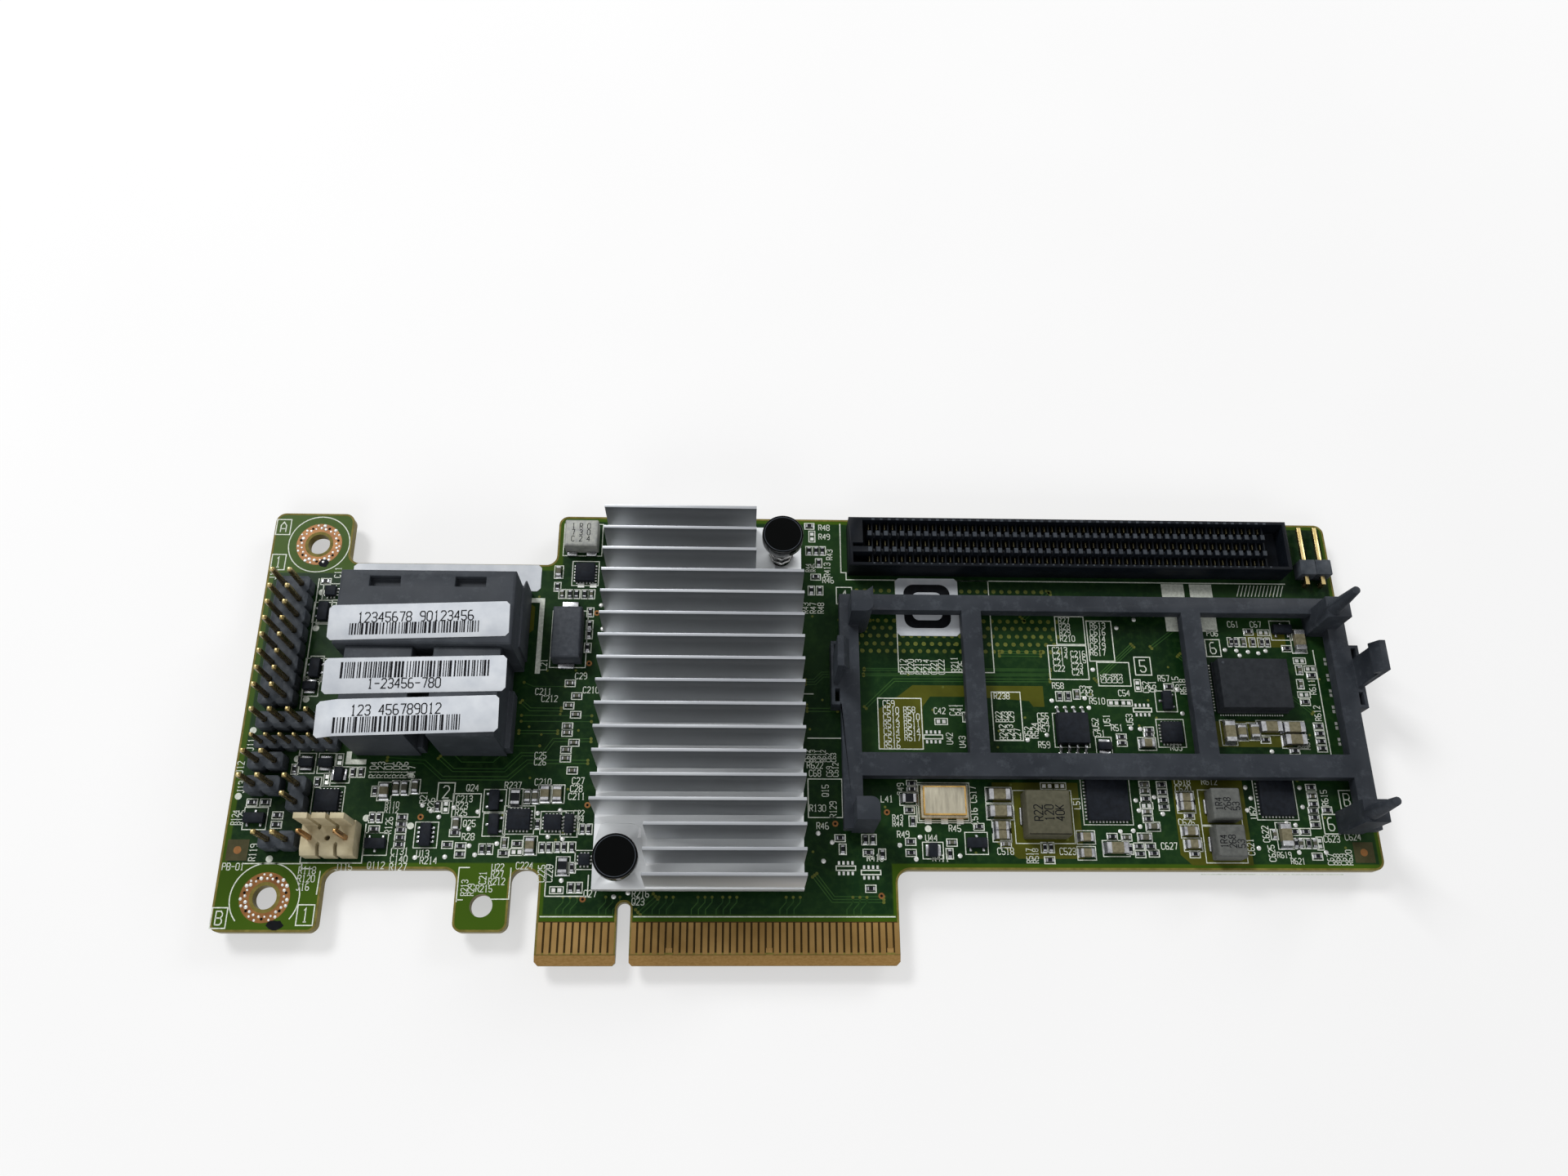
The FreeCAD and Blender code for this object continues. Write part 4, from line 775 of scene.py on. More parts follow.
NAMES_ACROSS = [
    (-45.9, 12.5, "R118 R120 J16", 0, -1.15), (-40.9, 13.0, "J115"), (-36.4, 13.2, "Q112"),
    (-33.3, 15.2, "C131 C140 R127", 0, -1.1), (-29.7, 14.9, "U13"), (-29.1, 13.9, "R214"),
    (-14.0, 29.3, "C25 C26", 0, -1.0), (-8.3, 25.5, "C27 C28 C211", -0.2, -1.15), (-23.5, 24.4, "Q24"),
    (-18.0, 24.8, "R237"), (-13.7, 25.3, "C210"), (-24.8, 22.8, "C213 R23 R25", 0, -1.0),
    (-23.5, 19.2, "Q25 R28", 0, -1.9), (-34.9, 22.0, "R110 R112", 0, -0.85),
    (-18.9, 13.0, "U22 R27", 0, -1.0), (-19.2, 11.0, "R212 R215", -1.7, -1.0), (-15.5, 13.2, "C224"),
    (-5.7, 9.3, "C27"), (1.1, 9.3, "R216 Q23", 0, -1.1), (-7.8, 20.8, "C22 P24", 0, -0.9),
    (28.4, 66.8, "R48 R49", 0, -1.6), (28.9, 57.7, "R46"),
    (37.7, 37.6, "C59 C510 C512 R513 C514 C515 R516", 0, -1.08),
    (40.8, 36.6, "R58 R510 R511 R514 R517", 0, -1.08), (45.4, 36.5, "C42"), (54.7, 38.9, "R238"),
    (61.1, 35.8, "C55 R54 R57", 0, -1.0), (60.9, 31.3, "R59"), (65.7, 51.3, "R27 R28 R29 R210", 0, -1.0),
    (70.6, 50.5, "R613 C616 R614 C619 R617", -0.1, -1.12), (64.3, 46.4, "C213 C214 C21 C22", 0, -1.0),
    (67.1, 45.8, "C216 C215 C23 C24", 0, -1.0), (63.8, 40.6, "R58"), (69.3, 38.2, "R510"),
    (73.9, 39.5, "C54"), (69.4, 33.1, "C51"), (72.2, 34.0, "R51"), (26.1, 28.0, "R622 C68", 0.3, -1.2),
    (26.4, 21.6, "R130"), (27.4, 19.0, "R46"), (36.9, 23.0, "L41"), (38.5, 20.3, "R43 R44", 0, -0.9),
    (46.7, 18.7, "R45"), (39.1, 17.8, "R49"), (43.2, 17.3, "U44"), (53.6, 15.4, "C518"),
    (62.7, 15.4, "C523"), (92.4, 50.9, "C61 C67", 3.6, 0), (80.3, 41.9, "R57"), (80.9, 31.0, "R65"),
    (80.8, 25.8, "C618 R612", 4.1, 0), (80.8, 24.7, "C620"), (80.7, 19.7, "C626"), (77.7, 16.2, "C627"),
    (102.0, 17.3, "C623 C624", 3.2, 0.3), (94.7, 15.0, "R619 R621", 1.9, -0.9),
    (-8.8, 41.6, "C29 C210", 1.3, -2.2), (-14.6, 39.1, "C211 C212", 1.0, -1.1), (-56.6, 13.0, "PB-01"),
    (34.6, 14.4, "R410 R411", 9.5, 0), (88.9, 49.4, "P06"),
]
NAMES_UPRIGHT = [
    (-55.6, 19.4, "R124 R125", 0.9, 0), (-52.2, 14.3, "R119"), (-54.9, 30.3, "J11"), (-55.9, 26.9, "J12"),
    (-55.3, 24.0, "J13"), (-36.8, 26.3, "R104 R123 R101 R105 R106 C17", 1.12, 0), (-33.6, 18.2, "R126"),
    (-29.1, 22.6, "R21 R26", 1.2, -1.0), (-22.1, 9.5, "R213 R29", 0.95, 0), (-19.6, 11.1, "C21"),
    (-11.4, 11.4, "C225 C226", 1.1, 0), (30.5, 61.7, "R43 R413", -0.4, -2.9),
    (27.0, 59.6, "R44 R45", 0.8, 0), (26.6, 52.6, "R43 R47 R48", 1.2, 0),
    (41.5, 42.8, "R212 C220 R213 R214 C221 C222", 1.17, 0), (49.4, 43.2, "R211 R25", 1.1, 0),
    (48.7, 36.3, "C41 R41", 1.05, 0), (48.0, 31.8, "U42 U43", 1.9, -0.5),
    (55.6, 35.3, "R22 R23 C29", 0.95, 0), (56.1, 32.5, "R242 C243 C27", 1.1, 0),
    (59.9, 32.8, "Q52 R524", 1.1, 0), (72.2, 41.6, "C56 C57 C58 C53", 0.85, 0),
    (68.9, 39.4, "C53 C54", 1.0, 0), (70.3, 34.2, "U52"), (72.1, 34.8, "U51"), (75.6, 34.9, "U53"),
    (26.5, 29.0, "C612 R613 C611 R612 C62 C63", 0.78, 0), (29.8, 26.8, "C69 C612", 0.9, 0),
    (29.2, 23.8, "Q15"), (30.3, 20.7, "R129"), (51.0, 19.8, "C516 C517", 0, 3.2), (40.3, 24.1, "C49"),
    (66.3, 22.1, "L51"), (58.6, 14.2, "R517 R518", 0.9, 0), (84.5, 39.9, "R618 R615", -1.1, 0.4),
    (78.7, 40.1, "C52 Q51", 1.1, 0.1), (104.7, 40.0, "R611 R612", 0.1, -4.2),
    (101.3, 31.3, "R63 R64", 1.0, 0), (93.9, 17.3, "C622 C625", 0.5, -2.8),
    (102.9, 14.0, "C67 R68 C69 R620", 0.95, 0), (91.4, 15.4, "C621 U62", 1.1, 5.4), (103.6, 22.7, "R615"),
    (-13.2, 43.0, "L21"), (-55.7, 57.4, "J14"), (-45.9, 57.8, "C11"),
]

# Other print: marks with the sides of their box, frames, lines, thick lines and dots

BOXED = [
    (-57.0, -54.9, 5.0, 7.8, "B"), (-45.3, -43.0, 5.4, 8.2, "1"), (-56.9, -54.7, 65.0, 67.6, "A"),
    (-56.8, -54.7, 59.0, 61.6, "1"), (-27.6, -25.2, 22.9, 25.6, "2"), (31.0, 33.4, 54.2, 57.0, "4"),
    (76.9, 79.4, 42.9, 45.8, "5"), (88.4, 90.7, 46.0, 48.8, "6"), (102.3, 104.6, 18.5, 21.4, "6"),
    (105.4, 107.5, 22.2, 25.0, "B"),
]
SILK_FRAMES = [
    (40.3, 55.0, 43.1, 58.3), (36.9, 43.5, 31.0, 38.9), (54.3, 58.7, 32.4, 40.0), (65.1, 69.6, 47.8, 52.4),
    (70.0, 73.9, 45.1, 51.7), (63.6, 69.6, 42.1, 47.6), (71.0, 76.0, 41.1, 44.9), (26.2, 31.2, 20.7, 26.4),
    (-25.3, -21.3, 20.6, 24.0), (-48.6, -46.6, 50.1, 54.0), (-48.6, -46.6, 40.9, 44.9),
]
SILK_LINES = [
    [(34.0, 58.3), (102.7, 58.3)], [(31.8, 68.0), (31.8, 59.5), (32.6, 59.5), (32.6, 58.3), (34.0, 58.3)],
    [(105.3, 47.2), (105.3, 30.5)], [(-49.1, 36.6), (-49.1, 57.6)],
    [(-23.5, 8.6), (-23.5, 13.4), (-22.0, 13.4)], [(-23.5, 8.9), (-22.6, 8.9)],
    [(-16.2, 13.4), (-16.2, 9.0), (-19.0, 9.0)], [(-48.2, 26.0), (-48.2, 30.4), (-42.6, 30.4)],
    [(-53.9, 13.9), (-45.6, 13.9), (-45.6, 13.2), (-44.0, 13.2)],
    [(-45.9, 19.9), (-45.9, 14.0), (-37.3, 14.0), (-37.3, 19.6)], [(26.2, 32.6), (31.3, 32.6)],
    [(-11.2, 9.4), (-11.2, 13.8), (-10.6, 13.8)], [(-11.2, 9.4), (-5.2, 9.4), (-5.2, 12.4)],
    [(25.6, 39.5), (27.2, 39.5)], [(83.0, 12.6), (104.0, 12.6)], [(-43.0, 9.6), (-42.9, 12.9)],
]
THICK_LINES = [
    [(-18.0, 54.3), (-14.55, 54.3), (-14.55, 42.4)], [(-41.0, 30.2), (-41.0, 28.65), (-38.4, 28.65)],
]
SILK_DOTS = [
    (-55.4, 33.3), (-48.4, 29.05), (-56.0, 23.5), (-50.25, 14.55), (-31.8, 26.75), (-37.4, 20.4),
    (-31.0, 19.3), (-48.4, 55.3), (-48.5, 49.4), (-48.4, 38.1), (43.65, 19.1),
]

# Places without a part: pads of chips that lie across or upright and of packages, test points,
# open vias and marks in a window of the mask

BARE_ACROSS = [
    (-15.6, 15.6), (-9.6, 10.25), (46.4, 35.3), (61.6, 25.5), (63.5, 25.5), (76.2, 22.6), (73.0, 38.4),
    (74.9, 38.4), (97.9, 50.0), (102.9, 45.4), (104.4, 44.1), (102.7, 39.9),
]
BARE_UPRIGHT = [(-42.25, 28.9), (-43.7, 26.0), (-26.25, 22.1), (27.3, 65.7), (77.0, 41.2), (101.3, 17.1)]
BARE_PACKAGES = [(31.5, 13.4), (35.1, 12.8), (45.1, 32.9), (77.3, 37.3)]
TEST_PADS = [
    (-29.6, 22.3), (-28.3, 21.5), (-27.1, 20.6), (-25.1, 22.0), (-21.6, 21.4), (-22.7, 18.9), (-22.4, 16.5),
    (-21.5, 15.2), (-18.5, 16.8), (-29.9, 14.8), (-25.7, 14.9), (-13.0, 21.2), (-9.8, 21.6), (-11.3, 17.8),
    (-9.2, 17.5), (-9.0, 11.6), (-1.5, 9.35), (0.5, 9.9), (-5.5, 53.6), (-5.1, 49.7), (27.6, 18.4),
    (28.3, 14.4), (29.6, 17.1), (42.4, 17.9), (39.4, 16.7), (41.7, 14.7), (48.1, 15.2), (74.7, 23.4),
    (75.0, 21.9), (74.9, 19.5), (77.5, 23.9), (78.5, 21.4), (73.8, 18.9), (71.9, 18.8), (74.7, 50.6),
    (77.6, 52.0), (70.3, 43.7), (63.5, 38.7), (69.1, 37.6), (68.6, 39.1), (83.1, 40.6), (83.4, 36.8),
    (75.2, 34.4), (76.6, 34.3), (62.3, 33.3), (59.3, 32.5), (91.4, 47.1), (93.2, 47.0), (93.6, 46.2),
    (95.0, 46.8), (96.6, 46.6), (97.8, 47.0), (96.3, 30.9), (99.6, 25.4), (99.6, 22.5), (98.1, 19.8),
    (96.8, 20.1), (91.4, 25.4), (91.2, 22.0), (92.0, 23.8), (92.1, 16.4), (98.0, 15.8), (102.0, 15.8),
]
OPEN_VIAS = [
    (-29.7, 20.6), (-5.9, 22.4), (-5.85, 9.0), (-6.1, 52.3), (-6.85, 44.1), (36.5, 9.5), (37.7, 21.5),
    (30.1, 19.8),
]
FIDUCIALS = [(-54.9, 15.8), (107.65, 15.8)]

# Short contacts, holes for the bracket and lines above the contacts

SHORT_CONTACTS = (6.5, 20.5, 37.5)
BRACKET_HOLES = ((-50.1, 9.2), (-49.9, 63.4))
CONTACT_LINES = ([(-11.7, 6.6), (-1.5, 6.6)], [(1.4, 6.6), (38.4, 6.6)])

# Copper: groups of traces with their path, count and pitch, and outlines of copper areas

BUSES = [
    ([(-35.4, 29.1), (-30.0, 28.7), (-27.2, 26.3), (-17.7, 26.3), (-15.0, 28.8), (-6.2, 28.8)], 2, 0.5),
    ([(-27.9, 29.4), (-25.7, 27.5), (-18.3, 27.5), (-16.0, 29.9), (-12.9, 29.9), (-11.4, 32.1),
     (-5.9, 32.1)], 2, 0.45),
    ([(-25.9, 29.9), (-24.6, 28.7), (-20.0, 28.7), (-17.4, 31.2), (-13.4, 31.2)], 1, 0.4),
    ([(-16.6, 33.3), (-10.9, 33.3)], 2, 0.45), ([(-16.4, 35.4), (-6.0, 35.4)], 2, 0.9),
    ([(-16.6, 38.0), (-15.2, 36.8), (-10.6, 36.8)], 2, 0.45),
    ([(-16.4, 41.0), (-15.0, 40.4), (-10.2, 40.4)], 1, 0.4), ([(35.0, 43.5), (63.7, 43.6)], 2, 0.28),
    ([(34.9, 42.6), (63.6, 42.8)], 2, 0.28), ([(35.0, 37.4), (39.5, 41.8), (63.5, 41.9)], 2, 0.42),
    ([(70.6, 42.0), (76.9, 47.7)], 3, 0.34),
    ([(26.0, 41.4), (27.4, 41.4), (28.6, 42.6), (30.6, 42.6)], 3, 0.4),
    ([(26.2, 37.0), (30.8, 37.0)], 2, 0.5), ([(56.0, 46.2), (62.4, 46.2)], 3, 0.4),
    ([(79.8, 47.4), (84.6, 51.0)], 2, 0.4), ([(84.0, 46.2), (86.8, 43.4)], 3, 0.36),
    ([(99.2, 26.8), (103.2, 29.2)], 3, 0.4), ([(100.2, 40.0), (103.6, 37.0)], 2, 0.4),
    ([(2.0, 7.2), (4.4, 9.4)], 3, 0.5), ([(27.0, 12.4), (29.6, 9.0), (36.8, 9.0)], 3, 0.4),
    ([(80.0, 28.4), (88.0, 28.4)], 3, 0.4), ([(-44.9, 33.4), (-42.4, 33.4)], 2, 0.5),
    ([(60.0, 52.0), (64.5, 56.4)], 3, 0.45),
]
BACK_BUSES = [
    ([(-40.0, 20.0), (-30.0, 30.0), (-30.0, 48.0)], 4, 0.5),
    ([(-20.0, 16.0), (-8.0, 28.0), (-4.0, 28.0)], 5, 0.45),
    ([(30.0, 14.5), (44.0, 28.5), (44.0, 56.0)], 6, 0.45),
    ([(60.0, 18.0), (60.0, 40.0), (76.0, 56.0)], 4, 0.5),
    ([(84.0, 16.0), (100.0, 32.0), (100.0, 60.0)], 3, 0.5),
    ([(4.0, 7.5), (4.0, 12.0), (0.0, 16.0), (0.0, 24.0)], 6, 0.5),
    ([(24.0, 7.5), (24.0, 14.0), (20.0, 18.0), (20.0, 24.0)], 7, 0.5),
]
POURS = [
    [(40.0, 39.2), (42.3, 41.0), (62.3, 41.0), (62.3, 37.7), (60.6, 37.7), (60.0, 38.6), (52.0, 39.2),
     (44.9, 39.2), (43.7, 37.6), (43.7, 31.0), (41.0, 31.0), (37.0, 31.0), (37.0, 37.2)],
    [(-17.4, 48.1), (-15.6, 49.4), (-15.6, 53.2), (-17.4, 54.6)],
    [(86.6, 35.6), (99.6, 35.6), (99.6, 31.6), (88.4, 31.6)],
    [(53.4, 26.0), (66.2, 26.0), (66.2, 14.8), (56.6, 14.8), (53.4, 17.2)],
    [(80.4, 26.6), (91.0, 26.6), (91.0, 13.9), (82.0, 13.9), (80.4, 15.4)],
    [(95.0, 47.6), (101.2, 47.6), (101.2, 50.0), (95.0, 50.0)],
    [(66.4, 30.2), (75.4, 30.2), (75.4, 28.0), (66.4, 28.0)],
]


def bus(mesh, path, count, pitch, side=UPPER):
    """Parallel traces along a path, each ending in a covered via."""
    for i in range(count):
        track = mitred(path, (i - (count - 1) / 2) * pitch)
        mesh.line(track, 0.14, "trace", COPPER, side=side)
        for x, y in (track[0], track[-1]):
            mesh.spot(x, y, 0.24, "tented", VIA, steps=10, side=side)


def contact_fan(mesh, x):
    """Three short traces that leave the contacts upward."""
    for start in (x, x + 1.0, x + 2.0):
        mesh.line([(start, 6.9), (start, 7.6), (start + 0.9, 8.6), (start + 0.9, 9.3)], 0.14, "trace", COPPER)
        mesh.spot(start + 0.9, 9.3, 0.22, "tented", VIA, steps=10)


def copper():
    """Traces, copper areas and covered vias under the green mask."""
    mesh = Mesh()
    for path, count, pitch in BUSES:
        bus(mesh, path, count, pitch)
    for corners in POURS:
        mesh.patch(corners, "pour")
    for row, y in enumerate((56.5, 51.5, 50.3, 49.0, 47.7, 46.5)):
        for column in range(25):
            mesh.spot(34.2 + (column + row % 2 / 2) * 1.27, y, 0.34, "tented", VIA, steps=12)
    for x in (-9.5, -3.5, 4.0, 9.5, 13.0, 22.0, 31.5):
        contact_fan(mesh, x)
    for i in range(150):
        x, y = rng.uniform(-18, 108), rng.uniform(14.5, 57)
        if not -5 < x < 26:
            mesh.spot(x, y, 0.2, "tented", LONE_VIA, steps=8)
    mesh.finish("board_copper")


def board_outline():
    """Corners of the board's outer edge on its component face."""
    work = bmesh.new()
    work.from_mesh(nodes["circuit_board"].data)
    bmesh.ops.remove_doubles(work, verts=work.verts, dist=1e-7)
    following = {}
    for face in work.faces:
        if face.normal.z < 0.97:
            continue
        for loop in face.loops:
            others = [f for f in loop.edge.link_faces if f is not face]
            if others and others[0].normal.z < 0.97:
                following[loop.vert] = loop.link_loop_next.vert
    start = min(following, key=lambda vert: vert.co.x)
    outline = [start]
    while following[outline[-1]] != start and len(outline) < len(following):
        outline.append(following[outline[-1]])
    points = [vert.co.xy / MM for vert in outline]
    work.free()
    return points


def outline_rim():
    """The strip of bare laminate that is left along the board's edge."""
    mesh = Mesh()
    path = mitred(board_outline(), 0.16, True)
    for side in (UPPER, LOWER):
        mesh.line(path, 0.3, "rim", PAD, True, side)
    mesh.finish("laminate_rim")


def chip_frames(mesh):
    """Printed frames round the chips and the larger parts."""
    margins = {
        "chip_resistors": 0.26, "wide_chip_resistors": 0.35, "small_chip_capacitors": 0.27,
        "large_chip_capacitors": 0.36, "flat_chips": 0.55, "oscillator": 0.5,
    }
    for node, margin in margins.items():
        for low, high in islands(node):
            mesh.frame_round(low, high, margin, margin)
    body_margins = {
        "memory_chip": (0.3, 0.3), "small_inductor": (0.45, 0.5), "long_inductor": (0.5, 0.5),
        "large_inductor": (1.1, 0.6), "inductor_pair": (0.9, 0.3),
    }
    widest_lead = 3
    for node, (wide, tall) in body_margins.items():
        for low, high in islands(node):
            if high.x - low.x >= widest_lead:
                mesh.frame_round(low, high, wide, tall)
    for low, high in islands("small_packages"):
        if high.z > 0.5:
            upright = high.y - low.y > high.x - low.x
            mesh.frame_round(low, high, *((0.9, 0.2) if upright else (0.2, 0.9)))


def print_names(mesh, rows, upright):
    """Rows of printed names; where the rows are close together they are printed smaller."""
    for x, y, words, *step in rows:
        across, up = step or (0, 0)
        pitch = abs(across if upright else up)
        height = min(0.95, pitch * 0.92) if 0.5 < pitch < 1.1 else 0.95
        for i, word in enumerate(words.split()):
            mesh.write(word, x + i * across, y + i * up, height, upright)


def silk():
    """White print on the component side."""
    mesh = Mesh()
    chip_frames(mesh)
    print_names(mesh, NAMES_ACROSS, False)
    print_names(mesh, NAMES_UPRIGHT, True)
    for x0, x1, y0, y1, mark in BOXED:
        mesh.frame(x0, x1, y0, y1, 0.16)
        height = (y1 - y0) * 0.66
        mesh.write(mark, (x0 + x1) / 2 - height * 0.24, (y0 + y1) / 2 - height / 2, height)
    for limits in SILK_FRAMES:
        mesh.frame(*limits, 0.15)
    for path in (*SILK_LINES, *CONTACT_LINES):
        mesh.line(path, 0.16)
    for path in THICK_LINES:
        mesh.line(path, 0.75)
    for x, y in SILK_DOTS:
        mesh.spot(x, y, 0.5, "silk", PRINT)
    for x0, x1 in ((82.6, 86.2), (87.1, 90.7)):
        mesh.bar(x0, x1, 50.1, 58.1, "silk", PRINT)
    for i in range(13):
        mesh.line([(94.6 + i * 0.58, 56.1), (95.3 + i * 0.58, 58.0)], 0.14)
    lower, upper = BRACKET_HOLES
    mesh.line(arc(*lower, 4.8, 48, -38, 222), 0.16)
    mesh.line(arc(*upper, 4.7, 48), 0.16)
    for x, y in ((89.8, 35.2), (94.6, 35.2)):
        mesh.patch([(x - 0.25, y), (x + 0.25, y), (x, y + 0.45)], "silk", PRINT)
    mesh.finish("board_silk")


def bare_pair(mesh, x, y, upright):
    """Two tinned pads of a part that isn't fitted, inside their printed frame."""
    for way in (-0.42, 0.42):
        cx, cy = (x, y + way) if upright else (x + way, y)
        mesh.bar(cx - 0.27, cx + 0.27, cy - 0.27, cy + 0.27, "tin", PAD)
    wide, tall = (0.48, 0.95) if upright else (0.95, 0.48)
    mesh.frame(x - wide, x + wide, y - tall, y + tall)


def pads():
    """Solder, bare copper and pads without a part on the component side."""
    mesh = Mesh()
    for x, y in TEST_PADS:
        mesh.bead(x, y, 0.36)
    for x, y in OPEN_VIAS:
        mesh.spot(x, y, 0.45, "annulus", PAD)
        # Painted shade: a black disc stands for the dark inside of the via's hole.
        mesh.spot(x, y, 0.2, "hole", HOLE)
    for x, y in BARE_ACROSS:
        bare_pair(mesh, x, y, False)
    for x, y in BARE_UPRIGHT:
        bare_pair(mesh, x, y, True)
    for x, y in BARE_PACKAGES:
        for px in (x - 0.98, x - 0.33, x + 0.32, x + 0.97):
            for py in (y - 0.75, y + 0.75):
                mesh.bar(px - 0.16, px + 0.16, py - 0.25, py + 0.25, "tin", PAD)
        mesh.frame(x - 1.4, x + 1.4, y - 0.3, y + 0.3, 0.16)
    for x, y in FIDUCIALS:
        mesh.bar(x - 1.5, x + 1.5, y - 1.5, y + 1.5, "window", WINDOW)
        mesh.spot(x, y, 0.55, "annulus", PAD, steps=24)
    for x in SHORT_CONTACTS:
        mesh.bar(x - 0.45, x + 0.45, CONTACTS_FOOT, CONTACTS_FOOT + 1, "laminate", COPPER)
    for y in (45.3, 42.7, 40.2, 37.6, 35.0, 32.5):
        for py in (y - 0.35, y + 0.35):
            mesh.bar(106.72, 107.12, py - 0.24, py + 0.24, "tin", PAD)
    for x, y in ((-8.8, 56.9), (-6.9, 56.9), (43.7, 20.15), (46.1, 20.15), (48.4, 20.15)):
        mesh.bar(x - 0.5, x + 0.5, y - 0.35, y + 0.35, "tin", PAD)
    mesh.finish("board_pads")


def mounting_rings():
    """Bare copper round the two bracket holes, with vias and dabs of solder, on both faces."""
    mesh = Mesh()
    for x, y in BRACKET_HOLES:
        for side in (UPPER, LOWER):
            mesh.spot(x, y, 3.5, "annulus", PAD, 2.15, 48, side)
            mesh.spot(x, y, 2.15, "rim", PAD, 1.66, 48, side)
            for i in range(7):
                angle = 2 * math.pi * (i + 0.25) / 7
                across, up = leaning(angle, 2.95, 0)
                # Painted shade: black discs stand for the dark insides of the vias' holes.
                mesh.spot(x + across, y + up, 0.2, "hole", RING_HOLE, side=side)
                for step in range(5):
                    turn = angle + 2 * math.pi * (0.18 + 0.16 * step) / 7 + rng.uniform(-0.02, 0.02)
                    reach = 2.6 + (0.62 if step % 2 else 0.12) + rng.uniform(-0.1, 0.1)
                    across, up = leaning(turn, reach, 0)
                    mesh.bead(x + across, y + up, rng.uniform(0.16, 0.3), side)
    for x, y, wide in ((-48.1, 5.4, 1.25), (-48.8, 60.2, 0.8)):
        blot = []
        for cos, sin in circle(0, 0, 1, 14):
            blot.append((x + wide * rng.uniform(0.75, 1.05) * cos, y + 0.75 * rng.uniform(0.8, 1.1) * sin))
        mesh.patch(blot, "ink", BLOT)
    mesh.finish("mounting_rings")


# The connector's labels: middle, height, lean in degrees, words, their size and start, and the
# limits of the bars. The lower two labels droop to the left of CREASE and have no bars there.

LABELS = [
    (-29.7, 46.05, 12.6, 2.0, "12345678 90123456", 1.47, (-8.6, -0.1), (-9.6, 8.5, -1.95, -0.2)),
    (-29.7, 38.3, 11.6, 1.5, "1-23456-780", 1.42, (-6.4, -1.95), (-11.5, 10.2, -0.4, 2.0)),
    (-30.3, 32.3, 11.6, 2.0, "123 456789012", 1.47, (-7.6, 0.2), (-10.5, 7.7, -2.25, 0.0)),
]
CREASE = -40.2


def label_print():
    """Plain numbers and rows of bars on the connector's labels, and a ring on the white area."""
    mesh = Mesh()
    for x, y, z, lean, words, height, start, (u0, u1, v0, v1) in LABELS:
        angle = math.radians(lean)
        level = z + 0.03
        on_hood = z > 12
        across, up = leaning(angle, *start)
        mesh.write(words, x + across, y + up, height, key="ink", level=level, turn=angle)
        u = u0
        while u < u1:
            width = rng.choice((0.13, 0.13, 0.22, 0.32))
            (foot_x, foot_y), (head_x, head_y) = leaning(angle, u, v0), leaning(angle, u, v1)
            if on_hood or x + foot_x > CREASE:
                mesh.line([(x + foot_x, y + foot_y), (x + head_x, y + head_y)], width, "ink", level)
            u += width + rng.choice((0.16, 0.2, 0.3))
    z = box_of("area_label")[1].z + 0.02
    rings = []
    for reach in (3.65, 2.35):
        corner = 0.45 * reach
        straight = reach - corner
        for quarter, (right, up) in enumerate(((1, 1), (-1, 1), (-1, -1), (1, -1))):
            first = 90 * quarter
            rings += arc(45.15 + right * straight, 53.9 + up * straight, corner, 6, first, first + 90)
    mesh.add([(*p, z) for p in rings], band(len(rings) // 2), "ink")
    mesh.finish("label_print")


# Details of the parts

def socket_details():
    """Blade contacts in the three rows. Pale grey patches are painted on the tops of the ribs and as ticks
    along the walls, as painted highlights where the ribs and the notched walls catch the light.
    """
    low, high = box_of("mezzanine_socket")
    mesh = Mesh()
    pitch, wall, trough, rib = 1.27, 0.5, 1.77, 0.95
    top = high.z + 0.012
    for i in range(50):
        x = low.x + 2.9 + i * pitch
        blade = x + 0.36
        for row in range(3):
            y = low.y + wall + row * (trough + rib)
            # The blades' dark finish is painted shade for gold contacts deep in the slots.
            mesh.box((blade - 0.07, y + 0.75, 0.9), (blade + 0.07, y + 1.6, 2.9), "blade")
            mesh.box((x + 0.72, y, 0.8), (x + 0.95, y + trough, 3.3), "socket")
        for row in range(2):
            y = low.y + wall + trough + row * (trough + rib)
            # Painted highlights: pale grey plates on the tops of the ribs.
            mesh.box((x + 0.06, y + 0.1, high.z), (x + 0.66, y + rib - 0.1, top), "socket_top")
        # Painted highlights: pale ticks along both walls where their notches catch the light.
        mesh.box((x + 0.74, high.y - wall, high.z), (x + 1.2, high.y - 0.16, top), "socket_top")
        mesh.box((x + 0.8, low.y + 0.26, high.z), (x + 1.1, low.y + wall, top), "socket_top")
    mesh.finish("socket_contacts")


def mouth_contacts():
    """Gold fingers inside the two cable ports."""
    low, high = box_of("cable_connector_hood")
    mesh = Mesh()
    cheek_overhang, mouth_depth, port_pitch, contact_pitch = 1.5, 8.6, 12.25, 0.8
    inner = high.y - cheek_overhang - mouth_depth
    for port in (-0.5, 0.5):
        for z in (4.2, 7.6):
            for i in range(9):
                x = middle(low, high)[0] + port * port_pitch + (i - 4) * contact_pitch
                for foot in (z - 0.52, z + 0.38):
                    mesh.box((x - 0.17, inner - 1.7, foot), (x + 0.17, inner - 0.05, foot + 0.14), "pin_gold")
    mesh.finish("port_contacts")


def stubs(mesh, low, high, along):
    """Tinned stubs along two sides of a leadless chip."""
    across = 1 - along
    pitch, half = 0.5, 0.12
    count = int((high[along] - low[along] - pitch) / pitch) + 1
    for i in range(count):
        place = (low[along] + high[along]) / 2 + (i - (count - 1) / 2) * pitch
        for edge, way in ((low[across], -1), (high[across], 1)):
            near, far = sorted((edge - way * 0.02, edge + way * 0.26))
            spans = ((place - half, place + half), (near, far))
            mesh.bar(*spans[along], *spans[across], "tin", STUB)


